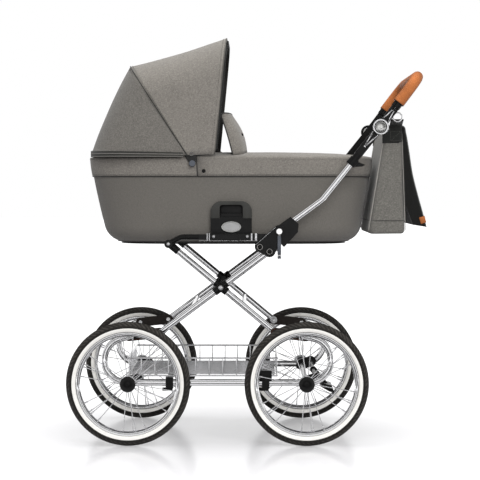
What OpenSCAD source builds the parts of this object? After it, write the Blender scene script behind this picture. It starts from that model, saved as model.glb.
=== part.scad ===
// Classic pram: sprung chassis on wire wheels, crossed folding legs, bassinet with hood, bag.
// Millimetres. X runs from the front wheels to the handle, Y to the pram's right, Z up.
// Origin on the floor, midway between the axles on the centre plane.

/* [Wheels] */
// Outer diameter of a tyre
wheel_d = 360; // [320:5:400]
// Width of a tyre
tyre_w = 36; // [28:1:40]
// Height of a tyre above its rim
tyre_h = 29; // [25:1:32]
// Depth of the rim towards the hub
rim_depth = 13; // [10:0.5:16]
// Width of the rim
rim_w = 28; // [20:1:30]
// Wall of the rim
rim_wall = 3.5; // [2:0.5:5]
// Spokes in a wheel
spoke_count = 24; // [16:4:36]
// Diameter of a spoke
spoke_d = 2.4; // [1.5:0.1:3]
// Diameter of the hub shell
hub_d = 30; // [24:1:36]
// Length of the hub
hub_l = 40; // [34:1:42]
// Diameter of the hub flanges
flange_d = 44; // [38:1:50]
// Diameter of the hub cap
cap_d = 46; // [40:1:54]
// Height of the hub cap
cap_h = 14; // [8:1:20]
// Distance between front and rear axle
wheelbase = 517; // [490:1:540]
// Distance between left and right wheel centres
track = 560; // [556:1:600]

/* [Base] */
// Diameter of the axles
axle_d = 12; // [8:1:14]
// Diameter of the base side tubes
base_tube_d = 20; // [16:1:22]
// Distance of a base side tube from the centre plane
base_y = 246; // [244:1:250]
// Bend radius of the C springs
spring_r = 65; // [55:1:75]
// Angle through which a C spring bends
spring_sweep = 165; // [150:1:170]
// Straight end of a C spring
spring_tail = 34; // [28:1:40]
// Thickness of a leather strap
strap_t = 3; // [2:0.5:4]
// Height of a leather strap
strap_h = 30; // [24:1:34]
// Diameter of the strap bolts
bolt_d = 6; // [5:0.5:8]
// Length of the basket
basket_l = 440; // [380:5:450]
// Place of the basket's middle along the base
basket_x = -46; // [-50:1:-30]
// Width of the basket
basket_w = 380; // [320:5:400]
// Height of the basket
basket_h = 52; // [40:1:70]
// Distance between basket wires
basket_pitch = 40; // [30:1:50]
// Diameter of the basket wires
wire_d = 3.2; // [2.5:0.1:4]
// Diameter of the basket rim wires
rim_wire_d = 5; // [4:0.1:6]
// Distance of the basket bars from the middle of the base
bar_x = 140; // [120:1:150]
// Diameter of the brake shaft
brake_d = 10; // [8:1:12]
// Width of the brake pedal
pedal_w = 90; // [60:1:120]
// Length of the brake pedal arm
pedal_l = 88; // [70:1:95]

/* [Folding frame] */
// Diameter of the leg tubes
leg_d = 18; // [16:0.5:20]
// Distance of the leg feet from the middle of the base
foot_x = 169; // [160:1:175]
// Height of the leg feet above the axles
foot_rise = 144; // [135:1:150]
// Place of the rising leg's top along the pram
top_x = 151; // [145:1:158]
// Height of the rising leg's top above its foot
top_rise = 239; // [230:1:245]
// Place of the falling leg's top along the pram
front_x = -142.5; // [-150:0.5:-135]
// Height of the falling leg's top above its foot
front_rise = 260; // [252:1:266]
// Diameter of the frame pivot pins
pin_d = 8; // [6:0.5:9]
// Height of the rails
rail_h = 19; // [16:1:22]
// Width of the rails
rail_w = 16; // [12:1:18]
// Height of the rails' middle above the rising leg's top
rail_rise = 41; // [38:1:44]
// Place where the front rail meets the centre rail
rail_split_x = -30; // [-40:1:-20]
// Distance between the cheeks of a hinge housing
housing_gap = 32; // [30:0.5:34]
// Thickness of the cheeks of a hinge housing
cheek_t = 4; // [3:0.5:5]
// Diameter of the cross tubes
cross_d = 14; // [10:1:16]
// Length of a lock lever
lever_l = 80; // [60:1:90]
// Diameter of a lock lever
lever_d = 9; // [7:0.5:11]

/* [Handle] */
// Diameter of the push tubes
push_d = 18; // [16:0.5:20]
// Reach of the handle hinge behind the push tube's pivot
hinge_reach = 293; // [280:1:300]
// Height of the handle hinge above the push tube's pivot
hinge_rise = 302; // [290:1:310]
// Width of the handle arms
arm_w = 24; // [20:1:28]
// Thickness of the handle arms
arm_t = 8; // [6:0.5:9]
// Length of an upper handle arm
arm_l = 86; // [76:1:95]
// Slope of the upper handle arms and the grip
arm_slope = 53; // [48:1:58]
// Diameter of the hinge caps
hinge_cap_d = 46; // [40:1:52]
// Diameter of the leather grip
grip_d = 33; // [28:1:38]
// Reach of the grip beyond the arms
grip_reach = 99; // [90:1:115]
// Bend radius of the grip's corners
grip_bend = 60; // [45:1:75]

/* [Bassinet] */
// Length of the tub at its rim
tub_l = 846; // [820:1:850]
// Length of the tub at its floor
tub_floor_l = 752; // [710:1:770]
// Width of the tub at its rim
tub_w = 428; // [400:1:430]
// Width of the tub at its floor
tub_floor_w = 412; // [380:1:416]
// Height of the tub
tub_h = 251; // [220:1:270]
// Wall of the tub
tub_wall = 9; // [6:1:12]
// Radius of the tub's bottom edge
tub_edge_r = 45; // [30:1:60]
// Place of the rim's middle along the pram
tub_x = 37; // [34:1:40]
// Place of the floor's middle along the pram
tub_floor_x = 43.5; // [40:0.5:50]
// Thickness of the cover cloth
cloth_t = 2.7; // [2:0.1:3.5]
// Height of the cloth band at the rim
band_h = 55; // [45:1:65]
// Place where the apron begins along the pram
apron_x = -62; // [-70:1:-52]
// Rise of the apron's middle above the rim
apron_crown = 14; // [5:1:25]
// Height of the wind flap
flap_h = 130; // [100:1:140]
// Lean of the wind flap towards the hood
flap_lean = 46; // [40:1:56]
// Thickness of the mattress
mattress_h = 55; // [40:1:70]
// Width of a carry plate
plate_w = 120; // [105:1:130]
// Height of a carry plate
plate_h = 113; // [105:1:120]
// Thickness of a carry plate
plate_t = 12; // [11:0.5:14]
// Travel of the squeeze trigger in a carry plate
trigger_travel = 8; // [5:1:10]

/* [Hood] */
// Place of the hood pivot along the pram
hood_x = -74; // [-80:1:-68]
// Depth of the hood pivot below the rim
hood_drop = 18; // [14:1:24]
// Length of the front bow
front_bow_l = 378; // [365:1:395]
// Slope of the front bow
front_bow_a = 75.2; // [72:0.2:80]
// Length of the middle bow
mid_bow_l = 337; // [325:1:355]
// Slope of the middle bow
mid_bow_a = 123; // [118:1:128]
// Reach of the hood's rear edge
rear_edge_l = 306; // [295:1:315]
// Slope of the hood's rear edge
rear_edge_a = 175; // [172:0.5:176]
// Distance of the front bow's foot in front of the pivot
front_foot_l = 62; // [55:1:70]
// Radius of the hood's shoulders
shoulder_r = 112; // [80:1:140]
// Width of the bows
bow_w = 14; // [10:1:18]
// Thickness of the bows
bow_t = 3; // [2:0.1:3.2]

/* [Bag] */
// Width of the bag
bag_w = 380; // [320:1:400]
// Height of the bag
bag_h = 310; // [280:1:330]
// Depth of the bag at its bottom
bag_bottom_d = 112; // [90:1:120]
// Depth of the bag at its mouth
bag_top_d = 50; // [40:1:56]
// Wall of the bag
bag_wall = 5; // [3:1:7]
// Thickness of the bag's flap
bag_flap_t = 4; // [3:0.5:6]

/* [Fits] */
// Free gap between pieces
gap = 0.3; // [0.2:0.05:0.5]
// Radial clearance of a pin in its bore
running = 0.05; // [0.02:0.01:0.1]

/* [Hidden] */
$fn = 64;
// Wheels and base
bead_d = wheel_d - 2 * tyre_h;
rim_in_d = bead_d - 2 * rim_depth;
spoke_lean = 9;
flange_t = 3;
flange_z = hub_l / 2 - 6;
cap_sphere_r = (cap_d * cap_d / 4 + cap_h * cap_h) / (2 * cap_h);
wheel_x = wheelbase / 2;
wheel_y = track / 2;
axle_z = wheel_d / 2;
hub_in_y = wheel_y - hub_l / 2 - 2;
hub_out_y = hub_in_y + hub_l;
axle_end = hub_out_y - 1.5;
spring_x = wheel_x + 6.5;
spring_bend_end = [spring_x, axle_z + spring_r] + spring_r * direction(spring_sweep - 90);
spring_eye = spring_bend_end + (spring_tail - 10) * direction(spring_sweep);
strap_out_y = base_y - base_tube_d / 2;
strap_in_y = strap_out_y - strap_t;
head_t = 1.7;
block_t = 14;
block_h = 34;
brake_axis = [wheel_x + 29, axle_z + 10];
pedal_arm_t = 16;
pedal_tip = brake_axis + (pedal_l - 24) * direction(-52);
basket_z = axle_z + 13;
bar_d = 12;
bar_z = basket_z - rim_wire_d / 2 - gap - bar_d / 2;
collar_l = 22;
collar_w = base_tube_d + 6;
collar_h = base_tube_d + 14;
catch_l = 30;
// Crossed legs and rails
leg_in_y = strap_in_y - head_t - gap - leg_d / 2;
foot_z = axle_z + foot_rise;
foot_front = [-foot_x, foot_z];
foot_rear = [foot_x, foot_z];
leg_top = [top_x, foot_z + top_rise];
leg_front = [front_x, foot_z + front_rise];
rise_slope = top_rise / (top_x + foot_x);
fall_slope = front_rise / (front_x - foot_x);
cross_x = -foot_x * (rise_slope + fall_slope) / (rise_slope - fall_slope);
leg_cross = [cross_x, foot_z + rise_slope * (cross_x + foot_x)];
block_l = 46;
block_wall = 2.5;
cross_share = 0.3;
rail_z = leg_top.y + rail_rise;
strip_y = base_y + rail_w / 2 + gap;
strip_t = 4;
strip_h = rail_w - 3;
strip_lap = 24;
strip_l = strip_lap + 90;
ledge_l = 60;
ledge_t = 8;
cheek_in_y = base_y - housing_gap / 2;
cheek_out_y = base_y + housing_gap / 2;
housing_bolt = leg_top + [-28, 13];
lever_pivot = leg_top + [28, 58];
lever_y = cheek_out_y + cheek_t + 1;
// Push tubes and handle
push_bend = lever_pivot + [125, 92];
socket_slope = heading([lever_pivot, push_bend], 0);
socket_start = 22;
hinge = lever_pivot + [hinge_reach, hinge_rise];
push_slope = heading([push_bend, hinge], 0);
push_end = hinge - 117 * direction(push_slope);
push_collar_l = 24;
push_collar_d = push_d + 10;
hinge_pin_d = 10;
arm_in_y = base_y - arm_t;
arm_mid_y = base_y + gap;
arm_out_y = arm_mid_y + arm_t;
button_d = 31;
button_h = 4;
button_travel = 3;
grip_y = arm_mid_y + arm_t / 2;
grip_start = hinge + arm_l * direction(arm_slope);
ring_place = hinge + 57 * direction(arm_slope - 23);
ring_d = 4;
// Bassinet
floor_t = 13;
trim_t = 4;
tub_z = rail_z - 19;
rim_z = tub_z + tub_h;
band_out = gap + cloth_t;
apron_a = acos(-pow((tub_x - apron_x) / (tub_l / 2 + band_out), 2));
band_a = 5 * ceil((apron_a - 1.5) / 5) + 2.5;
flap_front_x = apron_x + 96;
flap_l = 51;
flap_half_w = tub_w / 2 - 12;
plate_r = 30;
plate_x = tub_x + 2.5;
plate_z = rail_z - rail_h / 2;
plate_top = plate_z + plate_h;
plate_y = tub_half_width(plate_top) + gap;
opening_w = 67;
opening_h = 34;
opening_z = plate_top - 11 - opening_h;
oval_w = 56;
oval_h = 31;
// Hood
hood_pivot = [hood_x, rim_z - hood_drop];
bow_y = tub_w / 2 + band_out + 0.6;
front_bow_y = bow_y + bow_t + 0.4;
cloth_y = front_bow_y + bow_t + 0.4;
bow_foot = 26;
bow_knee = 45;
cloth_stand = 5;
hood_front = hood_pivot + (front_bow_l + cloth_stand + cloth_t) * direction(front_bow_a);
front_foot = hood_pivot + [front_foot_l, 0];
front_arch_l = norm(hood_front - front_foot) - cloth_stand - cloth_t;
front_arch_a = atan2(hood_front.y - front_foot.y, hood_front.x - front_foot.x);
front_knee = hood_pivot + [4, bow_knee];
front_heel = front_foot + bow_knee / sin(front_arch_a) * direction(front_arch_a);
hood_mid = hood_pivot + (mid_bow_l + cloth_stand + cloth_t) * direction(mid_bow_a);
hood_rear = hood_pivot + rear_edge_l * direction(rear_edge_a);
// Bag
bag_back_x = ring_place.x + 19;
bag_back_bottom = bag_back_x + 12;
bag_top_z = ring_place.y - 30;
bag_bottom_z = bag_top_z - bag_h;
flap_z = bag_top_z + gap + bag_flap_t / 2;
flap_path = [[bag_back_x - bag_top_d, flap_z + 2], [bag_back_x + 1, flap_z + 4], [bag_back_x + 11, flap_z - 18],
    [bag_back_x + 22, flap_z - 67], [bag_back_x + 33, flap_z - 136], [bag_back_x + 46, flap_z - 198],
    [bag_back_x + 60, flap_z - 248], [bag_back_x + 72, flap_z - 292]];
flap_inside = [[bag_back_x + 33, flap_z - 286], [bag_back_x + 18, flap_z - 248], [bag_back_x + 10.4, flap_z - 230],
    [bag_back_x + 0.8, bag_top_z + gap], [bag_back_x - bag_top_d, bag_top_z + gap]];

// Direction of an angle in a side view
function direction(a) = [cos(a), sin(a)];

// Angle of one stretch of a path
function heading(path, i) = atan2(path[i + 1].y - path[i].y, path[i + 1].x - path[i].x);

// Angle by which a path turns at a point
function turn(path, i) = let (t = heading(path, i) - heading(path, i - 1))
    t > 180 ? t - 360 : t < -180 ? t + 360 : t;

// Length that a bend takes off the stretches beside it
function trim(path, i, bend) = i == 0 || i == len(path) - 1 ? 0 : bend * tan(abs(turn(path, i)) / 2);

// Size of the tub at a height
function mix(a, b, t) = a + (b - a) * t;
function tub_rise(z) = (z - tub_z) / tub_h;
function tub_half_width(z) = mix(tub_floor_w, tub_w, tub_rise(z)) / 2;
function tub_full(z) = 1 - pow(max(0, 1 - tub_rise(z)), 1.25);
function tub_half_length(z) = mix(tub_floor_l, tub_l, tub_full(z)) / 2;
function tub_middle(z) = mix(tub_floor_x, tub_x, tub_full(z));
function edge_inset(z) = let (d = max(0, tub_edge_r - (z - tub_z)))
    tub_edge_r - sqrt(tub_edge_r * tub_edge_r - d * d);

// Places of basket wires along a length
function wire_rows(length, pitch = basket_pitch) = let (n = floor(length / pitch))
    [for (i = [1 : n - 1]) (i / n - 0.5) * length];

// Point of the tub's outline at a height, moved inwards by an inset
function tub_point(z, a, inset) =
    let (c = cos(a), s = sin(a), p = 0.5)
    [tub_middle(z) + sign(c) * pow(abs(c), p) * (tub_half_length(z) - inset),
     sign(s) * pow(abs(s), p) * (tub_half_width(z) - inset), z];
function tub_ring(z, inset, n = 72) = [for (i = [0 : n - 1]) tub_point(z, 360 * (i + 0.5) / n, inset)];

// Solid through a row of rings with the same number of points, paired where a ring is there and back
module loft(rings, paired = false) {
    n = len(rings[0]);
    last = len(rings) - 1;
    sides = [for (k = [0 : last - 1], i = [0 : n - 1], half = [0, 1])
        let (j = (i + 1) % n, a = k * n, b = (k + 1) * n)
        half == 0 ? [a + i, b + j, a + j] : [a + i, b + i, b + j]];
    half_n = floor(n / 2);
    strips = [for (k = [0, last], i = [0 : half_n - 2])
        let (a = k * n + i, b = k * n + n - 1 - i)
        k == 0 ? [a, a + 1, b - 1, b] : [b, b - 1, a + 1, a]];
    disks = [[for (i = [0 : n - 1]) i], [for (i = [n - 1 : -1 : 0]) last * n + i]];
    halves = [for (s = strips, half = [0, 1]) half == 0 ? [s[0], s[1], s[2]] : [s[0], s[2], s[3]]];
    caps = paired ? halves : disks;
    polyhedron(points = [for (ring = rings, p = ring) p], faces = concat(sides, caps), convexity = 8);
}

// Round bar between two points
module rod(p, q, d) {
    v = q - p;
    translate(p) rotate([0, acos(v.z / norm(v)), atan2(v.y, v.x)]) cylinder(d = d, h = norm(v));
}

// Round bar along Y through a point of the side view
module pin(p, y0, y1, d) {
    translate([p.x, y1, p.y]) rotate([90, 0, 0]) cylinder(d = d, h = y1 - y0);
}

// Round tube in the side view with bends at the inner points of a path
module bent_tube(path, d, bend) {
    for (i = [0 : len(path) - 2]) {
        h = heading(path, i);
        p = path[i] + trim(path, i, bend) * direction(h);
        q = path[i + 1] - trim(path, i + 1, bend) * direction(h);
        rod([p.x, 0, p.y], [q.x, 0, q.y], d);
    }
    for (i = [1 : 1 : len(path) - 2]) {
        h = heading(path, i - 1);
        t = turn(path, i);
        c = path[i] - trim(path, i, bend) * direction(h) + sign(t) * bend * direction(h + 90);
        start = t > 0 ? h - 90 : h + 90 + t;
        translate([c.x, 0, c.y]) rotate([90, 0, 0]) tube_bend(start, abs(t), bend, d);
    }
}

// Bent piece of tube that reaches a little way into the straight pieces beside it
module tube_bend(start, sweep, bend, d) {
    rotate([0, 0, start - 1]) rotate_extrude(angle = sweep + 2) translate([bend, 0]) circle(d = d - 0.4);
}

// Flat plate from a shape in the side view
module side_plate(y0, y1) {
    translate([0, y1, 0]) rotate([90, 0, 0]) linear_extrude(y1 - y0) children();
}

// Shape of a link with round ends
module link(p, q, d) {
    translate(p) circle(d = d);
    translate(q) circle(d = d);
    translate(p) rotate(heading([p, q], 0)) translate([0, 0.3 - d / 2]) square([norm(q - p), d - 0.6]);
}

// Both sides of the pram
module both() {
    children();
    mirror([0, 1, 0]) children();
}
module side(name) {
    if (name == "left") mirror([0, 1, 0]) children();
    else children();
}

// Places the children at a wheel, with their Z axis pointing outwards
module at_wheel(end, name) {
    side(name) translate([end * wheel_x, wheel_y, axle_z]) rotate([-90, 0, 0]) children();
}

module tyre(end, name) color("#322e2a") at_wheel(end, name) rotate_extrude($fn = 128)
    difference() {
        translate([(wheel_d - tyre_w) / 2, 0]) circle(d = tyre_w);
        translate([0, -tyre_w]) square([bead_d / 2, 2 * tyre_w]);
    }

module rim(end, name) color("silver") at_wheel(end, name) rotate_extrude($fn = 128)
    difference() {
        translate([rim_in_d / 2, -rim_w / 2]) square([(bead_d - rim_in_d) / 2, rim_w]);
        translate([rim_in_d / 2 + rim_wall, rim_wall - rim_w / 2]) square([bead_d, rim_w - 2 * rim_wall]);
    }

module spokes(end, name) color("lightgray") at_wheel(end, name)
    for (i = [0 : spoke_count - 1]) {
        a = i * 360 / spoke_count;
        b = a + (i % 4 < 2 ? spoke_lean : -spoke_lean);
        half = i % 2 == 0 ? 1 : -1;
        r = flange_d / 2 - 3;
        q = (rim_in_d + rim_wall) / 2;
        rod([r * cos(a), r * sin(a), half * flange_z], [q * cos(b), q * sin(b), half * 2], spoke_d);
    }

module hub_shell(end, name) color("gray") at_wheel(end, name) difference() {
    union() {
        translate([0, 0, hub_in_y - wheel_y]) cylinder(d = hub_d, h = hub_l);
        for (half = [-1, 1]) translate([0, 0, half * flange_z - flange_t / 2])
            cylinder(d = flange_d, h = flange_t);
    }
    translate([0, 0, -hub_l]) cylinder(d = axle_d + 2 * running, h = 2 * hub_l);
}

// Domed cap on the outer end of a hub
module hub_cap(end, name) color("#191a19") at_wheel(end, name)
    translate([0, 0, hub_out_y - wheel_y + gap / 2]) intersection() {
        cylinder(d = cap_d, h = cap_h);
        translate([0, 0, cap_h - cap_sphere_r]) sphere(r = cap_sphere_r);
    }

module hub(end, name) {
    hub_shell(end, name);
    hub_cap(end, name);
}

// Side tube of the base with a C spring at both ends
module spring_frame(name) color("silver") side(name) difference() {
    translate([0, base_y, 0]) {
        rod([-spring_x, 0, axle_z], [spring_x, 0, axle_z], base_tube_d);
        for (m = [0, 1]) mirror([m, 0, 0]) {
            translate([spring_x, 0, axle_z + spring_r]) rotate([90, 0, 0])
                tube_bend(-90, spring_sweep, spring_r, base_tube_d);
            tail = spring_bend_end + spring_tail * direction(spring_sweep);
            rod([spring_bend_end.x, 0, spring_bend_end.y], [tail.x, 0, tail.y], base_tube_d);
        }
    }
    for (end = [-1, 1]) {
        pin([end * wheel_x, axle_z], 0, track, axle_d + 2 * running);
        pin([end * spring_eye.x, spring_eye.y], 0, track, bolt_d + 2 * running);
    }
}

module axles() color("gray") for (end = [-1, 1])
    pin([end * wheel_x, axle_z], -axle_end, axle_end, axle_d);

// Black blocks that hold the axles to the side tubes, the rear ones with a bearing for the brake shaft
module axle_blocks() color("#191a19") both() for (end = [-1, 1])
    side_plate(strap_out_y - block_t, strap_out_y) difference() {
        axle_place = [end * wheel_x, axle_z];
        second = end > 0 ? brake_axis : axle_place + [24, 6];
        link(axle_place, second, block_h);
        translate(axle_place) circle(d = axle_d + 2 * running);
        if (end > 0) translate(second) circle(d = brake_d + 2 * running);
    }

// Wire floor of the basket: a frame with cross wires, and long wires resting on them
module basket_floor() color("lightgray") translate([basket_x, 0, basket_z]) {
    for (s = [-1, 1]) {
        rod([-basket_l / 2, s * basket_w / 2, 0], [basket_l / 2, s * basket_w / 2, 0], rim_wire_d);
        rod([s * basket_l / 2, -basket_w / 2, 0], [s * basket_l / 2, basket_w / 2, 0], rim_wire_d);
        for (e = [-1, 1]) translate([e * basket_l / 2, s * basket_w / 2, 0]) sphere(d = rim_wire_d);
    }
    for (x = wire_rows(basket_l)) rod([x, -basket_w / 2, 0], [x, basket_w / 2, 0], wire_d);
    for (y = wire_rows(basket_w, basket_pitch / 2))
        rod([rim_wire_d - basket_l / 2, y, wire_d + 0.2],
            [basket_l / 2 - rim_wire_d, y, wire_d + 0.2], wire_d);
}

// Upright wires with a rim wire, along X
module basket_panel(length, rim_length) {
    rod([-rim_length / 2, 0, basket_h], [rim_length / 2, 0, basket_h], rim_wire_d);
    for (x = wire_rows(length)) rod([x, 0, rim_wire_d / 2 + gap], [x, 0, basket_h], wire_d);
}

module basket_sides() color("lightgray") both()
    translate([basket_x, basket_w / 2, basket_z]) basket_panel(basket_l, basket_l + rim_wire_d);

module basket_ends() color("lightgray") for (end = [-1, 1])
    translate([basket_x + end * basket_l / 2, 0, basket_z]) rotate([0, 0, 90])
        basket_panel(basket_w, basket_w - rim_wire_d - 2 * gap);

module basket_walls() {
    basket_sides();
    basket_ends();
}

// Cross bars that carry the basket, each with a collar and a catch on both side tubes
module basket_bars() color("#191a19") for (end = [-1, 1]) difference() {
    union() {
        pin([end * bar_x, bar_z], 0.5 - base_y, base_y - 0.5, bar_d);
        both() translate([end * bar_x, base_y, axle_z]) {
            translate([-collar_l / 2, -collar_w / 2, -collar_h / 2]) cube([collar_l, collar_w, collar_h]);
            translate([-catch_l * 0.7, -4, -collar_h / 2 - 7]) cube([catch_l, 8, 9]);
            if (end > 0) translate([-18, 1 - collar_w / 2, 9]) cube([36, collar_w - 2, 27]);
        }
    }
    both() translate([end * bar_x, base_y, axle_z])
        rod([-2 * collar_l, 0, 0], [2 * collar_l, 0, 0], base_tube_d + 2 * running);
}

// Brake shaft with its arm and foot pad
module brake_pedal() color("#191a19") {
    pin(brake_axis, 2 - strap_out_y, strap_out_y - 2, brake_d);
    side_plate(-pedal_arm_t / 2, pedal_arm_t / 2) link(brake_axis, pedal_tip, 2 * brake_d);
    side_plate(-pedal_w / 2, pedal_w / 2) polygon([pedal_tip + [-12, 14], pedal_tip + [16, 6],
        pedal_tip + [24, -16], pedal_tip + [8, -12], pedal_tip + [-20, 4]]);
}

// Leather straps between the C springs and the leg feet
module leather_straps() color("#26221f") both() for (end = [-1, 1])
    side_plate(strap_in_y, strap_out_y) difference() {
        foot = [end * foot_x, foot_z];
        eye = [end * spring_eye.x, spring_eye.y];
        link(foot, eye, strap_h);
        translate(foot) circle(d = bolt_d + 2 * running);
        translate(eye) circle(d = bolt_d + 2 * running);
    }

// Bolt along Y with a flat inner head and a round outer head
module strap_bolt(place, out_y) {
    pin(place, strap_in_y - head_t, out_y, bolt_d);
    pin(place, strap_in_y - head_t, strap_in_y, 2 * bolt_d);
    pin(place, out_y, out_y + 3, 2 * bolt_d);
}

module strap_bolts() color("silver") both() {
    for (end = [-1, 1])
        strap_bolt([end * spring_eye.x, spring_eye.y], base_y + base_tube_d / 2);
    strap_bolt(foot_front, base_y + leg_d / 2 + 0.5);
    strap_bolt(foot_rear, strap_out_y);
}

// Straight leg with eyes at both ends, the second eye as wide as stated
module leg(p, q, y, end_y0, end_y1) {
    difference() {
        union() {
            rod([p.x, y, p.y], [q.x, y, q.y], leg_d);
            pin(p, y - leg_d / 2, y + leg_d / 2, leg_d + 4);
            pin(q, end_y0, end_y1, leg_d + 2);
        }
        pin(p, 0, track, bolt_d + 2 * running);
        for (place = [leg_cross, q]) pin(place, 0, track, pin_d + 2 * running);
    }
}

module rising_legs() color("silver") {
    both() leg(foot_front, leg_top, base_y, cheek_in_y + gap, cheek_out_y - gap);
    leg_cross_tube(foot_front, leg_top, base_y);
}

module falling_legs() color("silver") {
    both() leg(foot_rear, leg_front, leg_in_y, leg_in_y - leg_d / 2, leg_in_y + leg_d / 2);
    leg_cross_tube(foot_rear, leg_front, leg_in_y);
}

// Black sleeve round a leg at the crossing
module pivot_block(p, q, y) difference() {
    along = heading([p, q], 0);
    a = leg_cross - block_l / 2 * direction(along);
    b = leg_cross + block_l / 2 * direction(along);
    rod([a.x, y, a.y], [b.x, y, b.y], leg_d + 2 * block_wall);
    rod([p.x, y, p.y], [q.x, y, q.y], leg_d + 2 * running);
    pin(leg_cross, 0, track, pin_d + 2 * running);
}
module rising_pivot_blocks() color("#191a19") both() {
    pivot_block(foot_front, leg_top, base_y);
    leg_pivot_pin();
}
module falling_pivot_blocks() color("#191a19") both() pivot_block(foot_rear, leg_front, leg_in_y);

module leg_pivot_pin() {
    out = base_y + leg_d / 2 + block_wall + gap;
    in = leg_in_y - leg_d / 2 - block_wall - gap;
    pin(leg_cross, in, out, pin_d);
    pin(leg_cross, out, out + 3, 2 * pin_d);
    pin(leg_cross, in - 3, in, 2 * pin_d);
}

// Cross tube between a pair of legs at a share of their length
module leg_cross_tube(p, q, y) {
    place = p + cross_share * (q - p);
    pin(place, gap / 2 + leg_d / 2 - y, y - leg_d / 2 - gap / 2, cross_d);
}

// Front rail bent down to the falling leg, with a sliding strip along the centre rail
module front_rail() difference() {
    union() {
        translate([0, base_y, 0]) bent_tube([leg_front, [leg_front.x + 36.5, rail_z], [rail_split_x, rail_z]],
            rail_w, 30);
        pin(leg_front, base_y - rail_w / 2 - 1, base_y + rail_w / 2 + 1, rail_w + 8);
        side_plate(strip_y, strip_y + strip_t)
            translate([rail_split_x - strip_lap, rail_z - strip_h / 2]) square([strip_l, strip_h]);
        side_plate(base_y, strip_y + strip_t)
            translate([rail_split_x - strip_lap, rail_z - strip_h / 2]) square([strip_lap - 1, strip_h]);
    }
    pin(leg_front, 0, track, pin_d);
}

module front_bolt() {
    out = base_y + rail_w / 2 + 1;
    pin(leg_front, leg_in_y + leg_d / 2 + gap, out, pin_d);
    pin(leg_front, out, out + 3, 2 * pin_d);
}

module front_rails() color("#191a19") both() {
    front_rail();
    front_bolt();
}

// Centre rail with a lug for the housing and a ledge for the carry plate
module centre_rails() color("#191a19") both() {
    side_plate(base_y - rail_w / 2, base_y + rail_w / 2) difference() {
        union() {
            translate([rail_split_x + gap, rail_z - rail_h / 2])
                square([housing_bolt.x + 17 - rail_split_x - gap, rail_h]);
            link([housing_bolt.x, rail_z - 4], housing_bolt, 2 * pin_d);
        }
        translate(housing_bolt) circle(d = pin_d);
    }
    translate([plate_x - ledge_l / 2, plate_y, plate_z - gap - ledge_t]) {
        cube([ledge_l, base_y - plate_y, ledge_t]);
        translate([0, base_y - plate_y - rail_w / 2, 0]) cube([ledge_l, rail_w / 2, 2 * ledge_t]);
    }
}

// Cheeks of the housing, held together by its pins
module hinge_housings() color("#191a19") both() for (y = [cheek_in_y - cheek_t, cheek_out_y])
    side_plate(y, y + cheek_t) difference() {
        union() {
            translate(housing_bolt) circle(r = 15);
            translate(leg_top) circle(r = 17);
            translate(lever_pivot) circle(r = 17);
            polygon([housing_bolt + [-13.5, 6.5], lever_pivot + [-12, 12], lever_pivot + [17, 0],
                leg_top + [16, -6], leg_top + [-2, -17], housing_bolt + [-7, -13]]);
        }
        for (p = [housing_bolt, leg_top, lever_pivot]) translate(p) circle(d = pin_d);
    }

module housing_pins() color("silver") both() {
    in = cheek_in_y - cheek_t;
    for (p = [housing_bolt, leg_top]) {
        pin(p, in, cheek_out_y + cheek_t, pin_d);
        pin(p, cheek_out_y + cheek_t, cheek_out_y + cheek_t + 3, 2 * pin_d);
    }
    pin(lever_pivot, in, lever_y + lever_d + gap, pin_d);
    pin(lever_pivot, lever_y + lever_d + gap, lever_y + lever_d + 3, 2 * pin_d);
    pin(leg_top, -in, in, cross_d);
}

// Hanging lever that locks the push tubes
module lock_levers() color("silver") both() difference() {
    union() {
        pin(lever_pivot, lever_y, lever_y + lever_d, 2 * lever_d);
        rod([lever_pivot.x, lever_y + lever_d / 2, lever_pivot.y],
            [lever_pivot.x, lever_y + lever_d / 2, lever_pivot.y - lever_l], lever_d - 1);
    }
    pin(lever_pivot, 0, track, pin_d + 2 * running);
}

// Chrome tubes from the housings up to the handle
module push_tubes() color("silver") both() translate([0, base_y, 0])
    bent_tube([lever_pivot + socket_start * direction(socket_slope), push_bend, push_end], push_d, 60);

// Black block that holds the lower end of a push tube and turns in the housing
module push_socket() difference() {
    side_plate(cheek_in_y + gap, cheek_out_y - gap) {
        translate(lever_pivot) circle(r = 15);
        translate(lever_pivot)
            polygon([[-6, 13.7], [33, 42], [56, 22], [54, -2], [14, -46], [6, -38], [-12, -8]]);
    }
    pin(lever_pivot, 0, track, pin_d + 2 * running);
    p = lever_pivot + socket_start * direction(socket_slope);
    q = lever_pivot + 90 * direction(socket_slope);
    rod([p.x, base_y, p.y], [q.x, base_y, q.y], push_d + 2 * running);
}

module push_collar() translate([0, base_y, 0]) difference() {
    p = push_end - push_collar_l * direction(push_slope);
    q = push_end - 100 * direction(push_slope);
    rod([p.x, 0, p.y], [push_end.x, 0, push_end.y], push_collar_d);
    rod([q.x, 0, q.y], [push_end.x, 0, push_end.y], push_d + 2 * running);
}

// Lower arm from a push tube to the handle hinge, with the hinge pin
module lower_arm() {
    q = push_end + 16 * direction(push_slope);
    side_plate(arm_in_y, base_y) link(q, hinge, arm_w);
    translate([0, base_y, 0]) rod([push_end.x, 0, push_end.y], [q.x, 0, q.y], push_d + 4);
    pin(hinge, base_y, arm_out_y, hinge_pin_d);
}

module push_fittings() color("#191a19") both() {
    push_socket();
    push_collar();
    lower_arm();
}

// Pointed lever beside a collar
module collar_levers() color("#191a19") both() side_plate(base_y - 5, base_y + 5)
    translate(push_end) rotate(push_slope) translate([0, -push_collar_d / 2 - gap])
        polygon([[-20, 0], [-2, 0], [4, -20], [-6, -16]]);

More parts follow.
